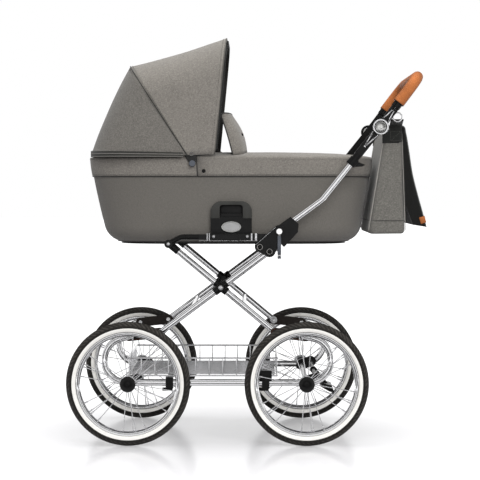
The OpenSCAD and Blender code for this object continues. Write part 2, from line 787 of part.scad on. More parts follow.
// Round button in the middle of a handle hinge
module hinge_button(name) color("silver") side(name) {
    y0 = arm_out_y + button_travel + gap;
    pin(hinge, y0, y0 + button_h, button_d);
    intersection() {
        pin(hinge, y0 + button_h, y0 + button_h + 4, button_d);
        translate([hinge.x, y0 + button_h + 4 - button_d, hinge.y]) sphere(r = button_d);
    }
}

// Upper arm with the ring of the hinge cap and the seat of the grip
module handle_arms() color("#191a19") both() {
    side_plate(arm_mid_y, arm_out_y) difference() {
        link(hinge, grip_start - arm_w / 2 * direction(arm_slope), arm_w);
        translate(hinge) circle(d = hinge_pin_d + 2 * running);
    }
    difference() {
        pin(hinge, arm_out_y, arm_out_y + button_travel + button_h, hinge_cap_d);
        pin(hinge, arm_out_y - 1, arm_out_y + 40, button_d + 2 * gap);
    }
    p = grip_start - 16 * direction(arm_slope);
    rod([p.x, grip_y, p.y], [grip_start.x, grip_y, grip_start.y], arm_w + 3);
}

// Leather covered bow of the handle
module grip() color("#be734b") translate([grip_start.x, 0, grip_start.y]) rotate([0, -arm_slope, 0]) {
    both() {
        rod([0, grip_y, 0], [grip_reach - grip_bend, grip_y, 0], grip_d);
        translate([grip_reach - grip_bend, grip_y - grip_bend, 0]) rotate_extrude(angle = 90)
            translate([grip_bend, 0]) circle(d = grip_d);
    }
    rod([grip_reach, grip_bend - grip_y, 0], [grip_reach, grip_y - grip_bend, 0], grip_d);
}

// Rings on the arms that the bag hangs from
module bag_rings() color("silver") both()
    translate([ring_place.x, arm_mid_y - ring_d / 2 - gap / 2, ring_place.y]) rotate([90, 0, 0])
        rotate_extrude() translate([13, 0]) circle(d = ring_d);

// Webbing from the bag's sides to the rings
module bag_straps() color("#191a19") both() {
    y0 = bag_w / 2 + gap;
    y1 = arm_mid_y - ring_d - 1.5 * gap;
    translate([ring_place.x - 19, y0, ring_place.y - 70]) cube([38, 2.5, 52]);
    rise = atan2(14, y1 - y0);
    translate([ring_place.x - 18, y0 + 0.5, ring_place.y - 20]) rotate([rise, 0, 0])
        cube([36, (y1 - y0 - 0.5) / cos(rise), 2.5]);
}

// Outline of the bag at a height, moved inwards by an inset
function bag_ring(z, inset) =
    let (t = (z - bag_bottom_z) / bag_h,
         back = mix(bag_back_bottom, bag_back_x, t),
         depth = mix(bag_bottom_d, bag_top_d, t))
    [for (i = [0 : 39]) let (a = 9 * (i + 0.5), c = cos(a), s = sin(a))
        [back - depth / 2 + sign(c) * pow(abs(c), 0.35) * (depth / 2 - inset),
         sign(s) * pow(abs(s), 0.35) * (bag_w / 2 - inset), z]];

module bag_body() color("#73716e") loft(concat(
    [for (s = [[0, 8], [4, 2], [14, 0], [bag_h / 2, 0], [bag_h, 0]]) bag_ring(bag_bottom_z + s[0], s[1])],
    [for (s = [[bag_h, 0], [bag_h / 2, 0], [16, 2], [bag_wall, 8]])
        bag_ring(bag_bottom_z + s[0], s[1] + bag_wall)]));

// Padded flap over the bag's mouth and down its back
module bag_flap() color("#2d3032") side_plate(3 - bag_w / 2, bag_w / 2 - 3)
    polygon(concat(flap_path, flap_inside));

// Shell of the bassinet, open at the top
module tub() color("#6b6a66") loft(concat(
    [for (z = [0, 3, 10, 22, tub_edge_r, 0.35 * tub_h, 0.55 * tub_h, tub_h - band_h, tub_h])
        tub_ring(tub_z + z, edge_inset(tub_z + z))],
    [for (z = [tub_h, tub_h - band_h, 0.55 * tub_h, 0.35 * tub_h, tub_edge_r, 24, floor_t])
        tub_ring(tub_z + z, tub_wall + edge_inset(tub_z + z))]));

// Dark edging under the tub
module bottom_trim() color("#191a19") translate([0, 0, tub_z - trim_t - gap / 2]) linear_extrude(trim_t)
    polygon([for (p = tub_ring(tub_z, tub_edge_r - 8)) [p.x, p.y]]);

// Cushion with a crown and drawn-in sides on the tub's floor
module mattress() color("#d8d5cc") loft([for (s = [[0, 36], [0.18, 24], [0.45, 20], [0.75, 25], [0.92, 42],
        [1, 75], [1.08, 120], [1.1, 170]])
    tub_ring(tub_z + floor_t + gap + s[0] * mattress_h, s[1])]);

// Section of the cloth band at the rim
function band_ring(a) = [tub_point(rim_z - band_h, a, -band_out), tub_point(rim_z, a, -band_out),
    tub_point(rim_z, a, -gap), tub_point(rim_z - band_h, a, -gap)];

module head_band() color("#7a7670") loft([for (a = concat([apron_a + 0.05],
    [for (b = [band_a : 5 : 360 - band_a]) b], [359.95 - apron_a])) band_ring(a)], true);

// Height of the apron's upper face
function apron_z(x, y) =
    let (e = pow(abs(x - tub_x) / (tub_l / 2 + band_out), 4) + pow(abs(y) / (tub_w / 2 + band_out), 4))
    rim_z + band_out + apron_crown * max(0, 1 - e);

// Section of the apron from its skirt over the rim to the middle of its front edge
function apron_ring(a) =
    let (outer = tub_point(rim_z, a, -band_out), inner = tub_point(rim_z, a, -gap),
         over = [for (u = [0.12, 0.35, 0.65, 0.99])
            let (x = mix(outer.x, apron_x, u), y = mix(outer.y, 0, u)) [x, y, apron_z(x, y)]])
    concat([tub_point(rim_z - band_h, a, -band_out), [outer.x, outer.y, rim_z + band_out]], over,
        [for (i = [len(over) - 1 : -1 : 0]) over[i] - [0, 0, cloth_t]],
        [[inner.x, inner.y, rim_z + gap], tub_point(rim_z - band_h, a, -gap)]);

module apron() color("#7a7670")
    loft([for (a = concat([-apron_a], [for (b = [-87.5 : 5 : 87.5]) b], [apron_a])) apron_ring(a)], true);

// Section of the wind flap that stands on the apron
function wind_flap_ring(a) =
    let (c = pow(abs(cos(a)), 0.5), s = sign(sin(a)) * pow(abs(sin(a)), 0.5),
         out = [flap_front_x + c * flap_l, s * flap_half_w], in = out - cloth_t * [c, s],
         z = apron_z(out.x, out.y) + gap, z_in = apron_z(in.x, in.y) + gap,
         lean = flap_lean * (0.68 + 0.32 * c), mid = [-lean / 2 + 5 * c, 3 * s], top = [-lean, -6 * s])
    [[out.x, out.y, z], [out.x + mid.x, out.y + mid.y, rim_z + flap_h / 2],
     [out.x + top.x, out.y + top.y, rim_z + flap_h], [in.x + top.x, in.y + top.y, rim_z + flap_h],
     [in.x + mid.x, in.y + mid.y, rim_z + flap_h / 2], [in.x, in.y, z_in]];
module wind_flap() color("#7a7670") loft([for (a = [-88 : 8 : 88]) wind_flap_ring(a)], true);

// Arched plate with a grip opening on both sides of the tub
module carry_plates() color("#282626") both() side_plate(plate_y, plate_y + plate_t) difference() {
    union() {
        translate([plate_x - plate_w / 2, plate_z]) square([plate_w, plate_h - plate_r]);
        translate([plate_x - plate_w / 2 + plate_r, plate_z]) square([plate_w - 2 * plate_r, plate_h]);
        for (s = [-1, 1]) translate([plate_x + s * (plate_w / 2 - plate_r), plate_top - plate_r])
            circle(r = plate_r);
    }
    translate([plate_x - opening_w / 2, opening_z]) square([opening_w, opening_h]);
}

// Bare oval plates on the carry plates
module oval_plates() color("silver") both() side_plate(plate_y + plate_t, plate_y + plate_t + 2)
    polygon([for (a = [0 : 10 : 350]) [plate_x + oval_w / 2 * cos(a), plate_z + 38 + oval_h / 2 * sin(a)]]);

module triggers() color("#4b4b48") both()
    translate([plate_x - opening_w / 2 + 2, plate_y + 1, opening_z + gap])
        cube([opening_w - 4, plate_t - 3, 9]);

module hood_pivots() color("silver") both() {
    pin(hood_pivot, bow_y - 0.5, cloth_y, pin_d);
    pin(hood_pivot, cloth_y, cloth_y + 5, 18);
}

// Arch with round shoulders
module arch(half, height, r) {
    translate([-half, 0]) square([2 * half, height - r]);
    translate([r - half, 0]) square([2 * (half - r), height]);
    for (s = [-1, 1]) translate([s * (half - r), height - r]) circle(r = r);
}

// Arch of a bow that stands on a foot in the side view
module bow_arch(half, length, a, foot) translate([foot.x, 0, foot.y]) rotate([0, 90 - a, 0])
    translate([-bow_w / 2, 0, 0]) rotate([90, 0, 90]) linear_extrude(bow_w) difference() {
        arch(half, length, shoulder_r);
        translate([0, -1]) arch(half - bow_t, length - bow_t + 1, shoulder_r - bow_t);
    }

// Bow of the hood that turns on the pivots
module hood_mid_bow() color("#191a19") difference() {
    union() {
        bow_arch(bow_y + bow_t, mid_bow_l, mid_bow_a, hood_pivot);
        both() pin(hood_pivot, bow_y, bow_y + bow_t, 20);
    }
    both() pin(hood_pivot, 0, track, pin_d + 2 * running);
}

// Front bow, whose foot stands in front of the pivots on two short arms
module hood_front_bow() color("#191a19") difference() {
    union() {
        difference() {
            bow_arch(front_bow_y + bow_t, front_arch_l, front_arch_a, front_foot);
            translate([hood_pivot.x, -track, hood_pivot.y - bow_w]) cube([2 * front_foot_l, 2 * track, bow_w + bow_knee - 4]);
        }
        both() side_plate(front_bow_y + 0.2, front_bow_y + bow_t - 0.2) {
            link(hood_pivot, front_knee, 20);
            link(front_knee, front_heel, 15);
        }
    }
    both() pin(hood_pivot, 0, track, pin_d + 2 * running);
}

// Points of an arch from the left foot over the top to the right foot
function arch_points(half, length, r) = concat([[-half, bow_foot], [-half, (length - r + bow_foot) / 2]],
    [for (a = [180 : -6 : 90]) [r - half + r * cos(a), length - r + r * sin(a)]],
    [for (a = [90 : -6 : 0]) [half - r + r * cos(a), length - r + r * sin(a)]],
    [[half, (length - r + bow_foot) / 2], [half, bow_foot]]);

// Section of the hood cloth from a foot to a point of its outline
function hood_ring(p, foot) =
    let (v = p - foot, length = norm(v), u = v / length,
         outer = arch_points(cloth_y + cloth_t, length, shoulder_r + cloth_t),
         inner = arch_points(cloth_y, length - cloth_t, shoulder_r),
         loop = concat(outer, [for (i = [len(inner) - 1 : -1 : 0]) inner[i]]))
    [for (q = loop) [foot.x + q.y * u.x, q.x, foot.y + q.y * u.y]];

// Hood cloth between two points of its outline, with a small bulge
module hood_panel(p, q, foot, bulge, steps) {
    n = [q.y - p.y, p.x - q.x] / norm(q - p);
    loft([for (i = [0 : steps]) let (t = i / steps)
        hood_ring(p + t * (q - p) + 4 * bulge * t * (1 - t) * n, foot + t * (hood_pivot - foot))], true);
}
module hood_rear_panel() color("#7a7670")
    hood_panel(hood_mid - 2 * direction(mid_bow_a - 90), hood_rear, hood_pivot, 7, 6);
module hood_front_panel() color("#7a7670") hood_panel(hood_front, hood_mid, front_foot, -4, 6);

tyre(-1, "left");  // front_left_tyre
rim(-1, "left");  // front_left_rim
spokes(-1, "left");  // front_left_spokes
hub(-1, "left");  // front_left_hub
tyre(-1, "right");  // front_right_tyre
rim(-1, "right");  // front_right_rim
spokes(-1, "right");  // front_right_spokes
hub(-1, "right");  // front_right_hub
tyre(1, "left");  // rear_left_tyre
rim(1, "left");  // rear_left_rim
spokes(1, "left");  // rear_left_spokes
hub(1, "left");  // rear_left_hub
tyre(1, "right");  // rear_right_tyre
rim(1, "right");  // rear_right_rim
spokes(1, "right");  // rear_right_spokes
hub(1, "right");  // rear_right_hub
spring_frame("left");  // spring_frame_left
spring_frame("right");  // spring_frame_right
axles();
axle_blocks();
basket_floor();
basket_walls();
basket_bars();
brake_pedal();
leather_straps();
strap_bolts();
rising_legs();
rising_pivot_blocks();
falling_legs();
falling_pivot_blocks();
front_rails();
centre_rails();
hinge_housings();
housing_pins();
lock_levers();
push_tubes();
push_fittings();
collar_levers();
hinge_button("left");  // hinge_button_left
hinge_button("right");  // hinge_button_right
handle_arms();
grip();
bag_rings();
bag_straps();
bag_body();
bag_flap();
tub();
bottom_trim();
mattress();
head_band();
apron();
wind_flap();
carry_plates();
oval_plates();
triggers();
hood_pivots();
hood_mid_bow();
hood_front_bow();
hood_rear_panel();
hood_front_panel();
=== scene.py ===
"""Classic pram: finishes, soft goods, small fittings, studio and camera."""

import logging
import math
from dataclasses import dataclass
from enum import Enum
from typing import Callable, Optional, Sequence

import bmesh
import bpy
from mathutils import Matrix, Vector, noise


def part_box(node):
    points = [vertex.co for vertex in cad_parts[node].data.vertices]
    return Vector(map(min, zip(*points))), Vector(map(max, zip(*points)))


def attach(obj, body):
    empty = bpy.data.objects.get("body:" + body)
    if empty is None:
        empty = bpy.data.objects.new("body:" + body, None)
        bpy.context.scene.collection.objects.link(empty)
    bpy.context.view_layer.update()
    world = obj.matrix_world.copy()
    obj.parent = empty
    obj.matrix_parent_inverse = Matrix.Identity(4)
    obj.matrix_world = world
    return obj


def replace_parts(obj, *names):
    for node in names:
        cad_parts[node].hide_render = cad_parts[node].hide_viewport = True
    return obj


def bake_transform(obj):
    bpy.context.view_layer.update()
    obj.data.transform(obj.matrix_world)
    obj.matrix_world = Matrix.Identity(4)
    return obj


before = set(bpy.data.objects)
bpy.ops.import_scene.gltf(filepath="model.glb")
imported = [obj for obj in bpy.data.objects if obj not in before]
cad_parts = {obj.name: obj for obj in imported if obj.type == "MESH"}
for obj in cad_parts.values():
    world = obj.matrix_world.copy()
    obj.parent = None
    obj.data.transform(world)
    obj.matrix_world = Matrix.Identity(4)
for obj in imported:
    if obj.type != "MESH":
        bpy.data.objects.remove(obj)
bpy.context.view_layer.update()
log = logging.getLogger("pram")

Colour = tuple[float, float, float]
Flat = tuple[float, float]
Place = tuple[float, float, float]


def mm(x: float, y: float, z: float) -> Vector:
    """Point in metres from millimetres."""
    return Vector((x, y, z)) * 0.001


def linear(red: int, green: int, blue: int) -> Colour:
    """Scene colour of a screen colour.

    Args:
        red: red from 0 to 255.
        green: green from 0 to 255.
        blue: blue from 0 to 255.

    Returns:
        The colour from 0 to 1, in even steps of light.
    """
    shares = [c / 255 for c in (red, green, blue)]
    r, g, b = [c / 12.92 if c <= 0.04045 else ((c + 0.055) / 1.055) ** 2.4 for c in shares]
    return r, g, b


def heading(degrees: float) -> Flat:
    """Unit direction of an angle in the side view."""
    return math.cos(math.radians(degrees)), math.sin(math.radians(degrees))


def mix(a: float, b: float, t: float) -> float:
    """Value between a and b at share t."""
    return a + (b - a) * t


def signed_power(value: float, power: float) -> float:
    """Power of a value's size, with the value's sign."""
    return math.copysign(abs(value) ** power, value)


class Side(Enum):
    """Side of the pram, with the sign of its Y."""

    LEFT = -1
    RIGHT = 1

    @property
    def word(self) -> str:
        """Name used in nodes and bodies."""
        return self.name.lower()


class End(Enum):
    """End of the base, with the sign of its X."""

    FRONT = -1
    REAR = 1

    @property
    def word(self) -> str:
        """Name used in nodes and bodies."""
        return self.name.lower()


class Nodes:
    """Node tree with short ways to add and join its nodes."""

    def __init__(self, tree: bpy.types.NodeTree) -> None:
        """Takes the tree of a material or of the world."""
        self.tree = tree

    def node(self, kind: str, **values: object) -> bpy.types.Node:
        """Adds a node and sets its properties.

        Args:
            kind: type name of the node.
            values: properties of the node.

        Returns:
            The new node.
        """
        made = self.tree.nodes.new(kind)
        for key, value in values.items():
            setattr(made, key, value)
        return made

    def link(self, source: bpy.types.NodeSocket, target: bpy.types.NodeSocket) -> None:
        """Joins two sockets."""
        self.tree.links.new(source, target)

    def ranged(self, value: bpy.types.NodeSocket, low: float, high: float,
               source: Flat = (0.3, 0.7)) -> bpy.types.NodeSocket:
        """Value moved from a source range to another range.

        Args:
            value: socket to move.
            low: lower end of the result.
            high: upper end of the result.
            source: range of the value.

        Returns:
            The new value socket.
        """
        made = self.node("ShaderNodeMapRange")
        self.link(value, made.inputs["Value"])
        for key, number in zip(("From Min", "From Max", "To Min", "To Max"), (*source, low, high)):
            made.inputs[key].default_value = number
        return made.outputs[0]

    def merged(self, a: bpy.types.NodeSocket, b: bpy.types.NodeSocket,
               operation: str = "MULTIPLY") -> bpy.types.NodeSocket:
        """Product of two values, or their sum or larger one.

        Args:
            a: first value.
            b: second value.
            operation: MULTIPLY, ADD or MAXIMUM.

        Returns:
            The new value socket.
        """
        made = self.node("ShaderNodeMath", operation=operation)
        self.link(a, made.inputs[0])
        self.link(b, made.inputs[1])
        return made.outputs[0]

    def seen(self) -> bpy.types.NodeSocket:
        """Value of 1 for rays from the camera, also mirrored or through glass.

        Returns:
            The value socket.
        """
        rays = self.node("ShaderNodeLightPath").outputs
        seen = self.merged(rays["Is Camera Ray"], rays["Is Glossy Ray"], "MAXIMUM")
        return self.merged(seen, rays["Is Transmission Ray"], "MAXIMUM")


class Graph(Nodes):
    """Node tree of one material, with a principled shader."""

    def __init__(self, name: str) -> None:
        """Starts an empty material.

        Args:
            name: name of the material.
        """
        self.material = bpy.data.materials.new(name)
        self.material.use_nodes = True
        super().__init__(self.material.node_tree)
        self.tree.nodes.clear()
        self.shader = self.node("ShaderNodeBsdfPrincipled")
        out = self.node("ShaderNodeOutputMaterial")
        self.link(self.shader.outputs[0], out.inputs["Surface"])
        self.coords = self.node("ShaderNodeTexCoord").outputs["Object"]

    def set(self, **values: object) -> None:
        """Sets sockets of the shader, with _ for a blank in their names."""
        for key, value in values.items():
            self.shader.inputs[key.replace("_", " ")].default_value = value

    def stretched(self, scale: Place) -> bpy.types.NodeSocket:
        """Object coordinates scaled along each axis.

        Args:
            scale: factor along X, Y and Z.

        Returns:
            The vector socket.
        """
        mapping = self.node("ShaderNodeMapping")
        mapping.inputs["Scale"].default_value = scale
        self.link(self.coords, mapping.inputs["Vector"])
        return mapping.outputs[0]

    def speckle(self, scale: float, detail: float = 2.0,
                vector: Optional[bpy.types.NodeSocket] = None) -> bpy.types.NodeSocket:
        """Noise over the object.

        Args:
            scale: spots in a metre.
            detail: layers of the noise.
            vector: coordinates, or None for the object's own.

        Returns:
            The noise value socket.
        """
        made = self.node("ShaderNodeTexNoise")
        made.inputs["Scale"].default_value = scale
        made.inputs["Detail"].default_value = detail
        self.link(vector or self.coords, made.inputs["Vector"])
        return made.outputs["Fac"]

    def threads(self, axis: str, period: float) -> bpy.types.NodeSocket:
        """Parallel threads across an axis.

        Args:
            axis: X, Y or Z.
            period: distance between threads in metres.

        Returns:
            The wave value socket.
        """
        made = self.node("ShaderNodeTexWave", bands_direction=axis)
        made.inputs["Scale"].default_value = math.pi / 10 / period
        made.inputs["Distortion"].default_value = 1.5
        made.inputs["Detail"].default_value = 1.0
        self.link(self.coords, made.inputs["Vector"])
        return made.outputs["Fac"]

    def tinted(self, dark: Colour, light: Colour, share: bpy.types.NodeSocket) -> None:
        """Colours the shader between two colours.

        Args:
            dark: colour at share 0.
            light: colour at share 1.
            share: socket with the varying share.
        """
        made = self.node("ShaderNodeMix", data_type="RGBA")
        made.inputs["A"].default_value = (*dark, 1.0)
        made.inputs["B"].default_value = (*light, 1.0)
        self.link(share, made.inputs["Factor"])
        colour = next(s for s in made.outputs if s.type == "RGBA")
        self.link(colour, self.shader.inputs["Base Color"])

    def bumped(self, height: bpy.types.NodeSocket, depth: float, strength: float,
               round_edge: float = 0.0) -> None:
        """Gives the shader a bump, over rounded edges where asked.

        Args:
            height: socket with the height from 0 to 1.
            depth: depth of the bump in metres.
            strength: share of the bump that shows.
            round_edge: radius of the edges in metres, or 0.
        """
        bump = self.node("ShaderNodeBump")
        bump.inputs["Strength"].default_value = strength
        bump.inputs["Distance"].default_value = depth
        self.link(height, bump.inputs["Height"])
        if round_edge:
            bevel = self.node("ShaderNodeBevel", samples=4)
            bevel.inputs["Radius"].default_value = round_edge
            self.link(bevel.outputs[0], bump.inputs["Normal"])
        self.link(bump.outputs[0], self.shader.inputs["Normal"])


@dataclass(frozen=True)
class Finish:
    """Surface with a name, a record slot and a colour."""

    name: str
    slot: str
    colour: Colour

    def material(self) -> bpy.types.Material:
        """The material, made once."""
        return bpy.data.materials.get(self.name) or self.build(Graph(self.name))

    def build(self, graph: Graph) -> bpy.types.Material:
        """The material with its node tree, which each kind of finish fills in its own way."""
        raise NotImplementedError

    def shade(self, share: float) -> Colour:
        """The colour made darker or lighter."""
        red, green, blue = (min(1.0, c * share) for c in self.colour)
        return red, green, blue


@dataclass(frozen=True)
class Cloth(Finish):
    """Woven cloth with light and dark fibres."""

    thread: float = 0.0014
    contrast: float = 0.3
    flecks: float = 0.0
    sheen: float = 0.2

    def build(self, graph: Graph) -> bpy.types.Material:
        """Weave, fibres and soft patches.

        Args:
            graph: empty node tree of the finish.

        Returns:
            The filled material.
        """
        fibres = graph.speckle(1.0, 3.0, graph.stretched((230.0, 230.0, 620.0)))
        cross = graph.speckle(1.0, 2.0, graph.stretched((640.0, 640.0, 260.0)))
        patches = graph.speckle(9.0, 3.0)
        spots = graph.merged(fibres, cross, "ADD")
        spots = graph.ranged(spots, 0.0, 0.86, (0.72, 1.28))
        soft = graph.ranged(patches, 0.0, 0.14)
        tone = graph.merged(spots, soft, "ADD")
        if self.flecks:
            fleck = graph.speckle(1.0, 1.0, graph.stretched((230.0, 230.0, 330.0)))
            tone = graph.merged(tone, graph.ranged(fleck, 0.0, self.flecks, (0.58, 0.72)), "ADD")
            cloud = graph.speckle(210.0, 2.0)
            tone = graph.merged(tone, graph.ranged(cloud, -0.24, 0.16), "ADD")
        graph.tinted(self.shade(1 - self.contrast), self.shade(1 + self.contrast), tone)
        weave = graph.merged(graph.threads("X", self.thread), graph.threads("Z", self.thread), "ADD")
        weave = graph.merged(weave, graph.threads("Y", self.thread), "ADD")
        graph.bumped(graph.merged(weave, spots, "ADD"), 0.0004, 0.35)
        graph.link(graph.ranged(patches, 0.82, 0.95), graph.shader.inputs["Roughness"])
        graph.set(Sheen_Weight=self.sheen, Sheen_Roughness=0.5, Specular_IOR_Level=0.25)
        return graph.material


@dataclass(frozen=True)
class Metal(Finish):
    """Plated metal with faint polishing marks."""

    rough: Flat = (0.05, 0.11)
    edge: float = 0.0005

    def build(self, graph: Graph) -> bpy.types.Material:
        """Mirror plate with slight haze.

        Args:
            graph: empty node tree of the finish.

        Returns:
            The filled material.
        """
        haze = graph.speckle(35.0, 4.0)
        marks = graph.speckle(1.0, 2.0, graph.stretched((900.0, 120.0, 900.0)))
        graph.link(graph.ranged(haze, *self.rough), graph.shader.inputs["Roughness"])
        graph.bumped(marks, 0.00002, 0.1, self.edge)
        graph.set(Base_Color=(*self.colour, 1.0), Metallic=1.0)
        return graph.material


@dataclass(frozen=True)
class Plastic(Finish):
    """Moulded plastic or satin paint with a fine grain."""

    rough: Flat = (0.36, 0.5)
    grain: float = 1500.0
    edge: float = 0.0009

    def build(self, graph: Graph) -> bpy.types.Material:
        """Grain, small colour changes and rubbed patches.

        Args:
            graph: empty node tree of the finish.

        Returns:
            The filled material.
        """
        grain = graph.speckle(self.grain, 2.0)
        wear = graph.speckle(22.0, 5.0)
        graph.tinted(self.shade(0.82), self.shade(1.25), graph.ranged(wear, 0.0, 1.0))
        graph.link(graph.ranged(wear, *self.rough), graph.shader.inputs["Roughness"])
        graph.bumped(grain, 0.00012, 0.3, self.edge)
        graph.set(Specular_IOR_Level=0.22)
        return graph.material


@dataclass(frozen=True)
class Leather(Finish):
    """Leather with pores, creases and handled patches."""

    pores: float = 620.0
    rough: Flat = (0.52, 0.72)

    def build(self, graph: Graph) -> bpy.types.Material:
        """Cell grain over soft colour changes.

        Args:
            graph: empty node tree of the finish.

        Returns:
            The filled material.
        """
        cells = graph.node("ShaderNodeTexVoronoi", feature="DISTANCE_TO_EDGE")
        cells.inputs["Scale"].default_value = self.pores
        graph.link(graph.coords, cells.inputs["Vector"])
        grain = graph.ranged(cells.outputs["Distance"], 0.0, 1.0, (0.0, 0.25))
        handled = graph.speckle(26.0, 4.0)
        tone = graph.merged(graph.ranged(handled, 0.1, 0.85), graph.ranged(grain, 0.82, 1.0, (0.0, 1.0)))
        graph.tinted(self.shade(0.62), self.shade(1.22), tone)
        graph.link(graph.ranged(handled, *self.rough), graph.shader.inputs["Roughness"])
        graph.bumped(grain, 0.0003, 0.4)
        graph.set(Sheen_Weight=0.03, Specular_IOR_Level=0.22)
        return graph.material


@dataclass(frozen=True)
class Rubber(Finish):
    """Tyre rubber with dust in its pores."""

    rough: Flat = (0.6, 0.82)
    spread: Flat = (0.8, 1.35)

    def build(self, graph: Graph) -> bpy.types.Material:
        """Dusty rubber.

        Args:
            graph: empty node tree of the finish.

        Returns:
            The filled material.
        """
        dust = graph.speckle(70.0, 5.0)
        pores = graph.speckle(1800.0, 2.0)
        graph.tinted(self.shade(self.spread[0]), self.shade(self.spread[1]), graph.ranged(dust, 0.0, 1.0))
        graph.link(graph.ranged(dust, *self.rough), graph.shader.inputs["Roughness"])
        graph.bumped(pores, 0.00015, 0.35)
        graph.set(Specular_IOR_Level=0.25)
        return graph.material


CHROME = Metal("chrome_plate", "chrome", (0.86, 0.86, 0.87))
WIRE = Metal("plated_wire", "spoke_steel", (0.78, 0.78, 0.79), (0.1, 0.2))
STEEL = Metal("bolt_steel", "steel", (0.66, 0.66, 0.67), (0.16, 0.28))
DARK_STEEL = Metal("dark_button_steel", "steel", (0.3, 0.29, 0.28), (0.18, 0.3))
SILVER = Metal("bare_silver_plate", "steel", (0.5, 0.5, 0.5), (0.34, 0.46))
GUN_METAL = Metal("gun_metal", "steel", (0.12, 0.13, 0.15), (0.25, 0.36))
SATIN = Metal("satin_button", "steel", (0.72, 0.72, 0.7), (0.26, 0.36))
BLACK_PAINT = Plastic("black_satin_paint", "black_paint", linear(9, 9, 9), (0.22, 0.34), 700.0)
BLACK = Plastic("black_moulding", "black_plastic", linear(10, 10, 10), (0.28, 0.42))
GREY_MOULD = Plastic("dark_grey_moulding", "grip_plastic", linear(54, 54, 52), (0.42, 0.58))
BOW = Plastic("bow_strip", "bow_plastic", linear(38, 38, 37))
RUBBER = Rubber("tyre_rubber", "tyre", linear(34, 32, 30))
# Lighter rubber on the lug tops: a painted highlight that shows the tread's relief.
LUG_TOP_PAINTED_HIGHLIGHT = Rubber("lug_top_painted_highlight_rubber", "tyre", linear(60, 57, 54))
WHITE_WALL = Rubber("white_wall_rubber", "tyre", linear(245, 243, 238), (0.5, 0.62), (0.95, 1.03))
STRAP_HIDE = Leather("dark_strap_hide", "strap_leather", linear(40, 35, 32), 480.0)
TAN_HIDE = Leather("tan_hide", "tan_leather", linear(176, 105, 58))
TAN_THREAD = Plastic("tan_thread", "tan_leather", linear(150, 84, 50), (0.7, 0.85))
TUB_CLOTH = Cloth("tub_weave", "tub_cloth", linear(102, 99, 94), contrast=0.14)
HOOD_CLOTH = Cloth("hood_weave", "hood_cloth", linear(120, 116, 110), contrast=0.26, flecks=0.9)
# The hood's cloth made darker for the rear panel: painted shade, as that panel turns away from the light.
HOOD_CLOTH_PAINTED_SHADE = Cloth("hood_weave_painted_shade", "hood_cloth", linear(107, 104, 99), contrast=0.26, flecks=0.9)
LINING = Cloth("lining_cotton", "pale_cloth", linear(205, 202, 194), contrast=0.08)
BAG_CLOTH = Cloth("bag_weave", "bag_cloth", linear(105, 103, 98), contrast=0.3, flecks=0.9)
# Dark lining of the bag's flap, darkened further: painted shade on the flap's side, which is grey cloth in
# shadow.
FLAP_CLOTH_PAINTED_SHADE = Cloth("dark_lining_and_painted_shade", "dark_cloth", linear(22, 22, 21), contrast=0.25)
FLAP_EDGE = Cloth("grey_flap_edge", "dark_cloth", linear(80, 81, 80), contrast=0.2)
BINDING = Cloth("dark_binding", "hood_cloth", linear(48, 47, 45), contrast=0.15)
PIPING = Cloth("pale_piping", "hood_cloth", linear(150, 147, 141), contrast=0.12)
WEBBING = Cloth("black_webbing", "webbing", linear(34, 35, 33), 0.0022, 0.25)
ZIP_LINE = Cloth("zip_piping", "hood_cloth", linear(112, 110, 105), contrast=0.12)
SEAM_THREAD = Cloth("seam_thread", "hood_cloth", linear(84, 82, 77), contrast=0.1)


CLOTH_THICKNESS = 0.0026


def mesh_piece(name: str, points: Sequence[Vector], faces: Sequence[Sequence[int]]) -> bpy.types.Object:
    """Smooth mesh object in the row frame.

    Args:
        name: name of the piece.
        points: places in metres.
        faces: rows of point numbers.

    Returns:
        The new object.
    """
    mesh = bpy.data.meshes.new(name)
    mesh.from_pydata([tuple(p) for p in points], [], [tuple(f) for f in faces])
    mesh.validate()
    for polygon in mesh.polygons:
        polygon.use_smooth = True
    made = bpy.data.objects.new(name, mesh)
    bpy.context.scene.collection.objects.link(made)
    return made


def grid_faces(rows: int, columns: int, wrap_rows: bool = False, wrap_columns: bool = False,
               first: int = 0) -> list[list[int]]:
    """Four-sided faces over a grid of points.

    Args:
        rows: rows of points.
        columns: points in a row.
        wrap_rows: the last row joins the first.
        wrap_columns: the last point of a row joins its first.
        first: number of the grid's first point.

    Returns:
        The faces.
    """
    made = []
    for i in range(rows if wrap_rows else rows - 1):
        for j in range(columns if wrap_columns else columns - 1):
            a, b = i, (i + 1) % rows
            c, d = j, (j + 1) % columns
            made.append([first + a * columns + c, first + a * columns + d,
                         first + b * columns + d, first + b * columns + c])
    return made


def grid_piece(name: str, rows: Sequence[Sequence[Vector]], wrap_rows: bool = False,
               wrap_columns: bool = False) -> bpy.types.Object:
    """Piece from rows of points, each row as long as the others."""
    points = [p for row in rows for p in row]
    return mesh_piece(name, points, grid_faces(len(rows), len(rows[0]), wrap_rows, wrap_columns))


def outward(piece: bpy.types.Object) -> bpy.types.Object:
    """Turns the faces of a closed piece outwards.

    Args:
        piece: closed piece.

    Returns:
        The piece.
    """
    work = bmesh.new()
    work.from_mesh(piece.data)
    bmesh.ops.recalc_face_normals(work, faces=work.faces)
    work.to_mesh(piece.data)
    work.free()
    return piece


def settle(piece: bpy.types.Object) -> bpy.types.Object:
    """Makes a piece's modifiers part of its mesh.

    Args:
        piece: piece with modifiers.

    Returns:
        The piece without them.
    """
    graph = bpy.context.evaluated_depsgraph_get()
    mesh = bpy.data.meshes.new_from_object(piece.evaluated_get(graph))
    piece.modifiers.clear()
    piece.data = mesh
    return piece


def thicken(piece: bpy.types.Object, thickness: float, offset: float) -> bpy.types.Object:
    """Gives a sheet its thickness, with a rim.

    Args:
        piece: open sheet.
        thickness: thickness in metres.
        offset: -1 grows against the faces, 1 along them, 0 both ways.

    Returns:
        The piece.
    """
    solid = piece.modifiers.new("thickness", "SOLIDIFY")
    solid.thickness = thickness
    solid.offset = offset
    return settle(piece)


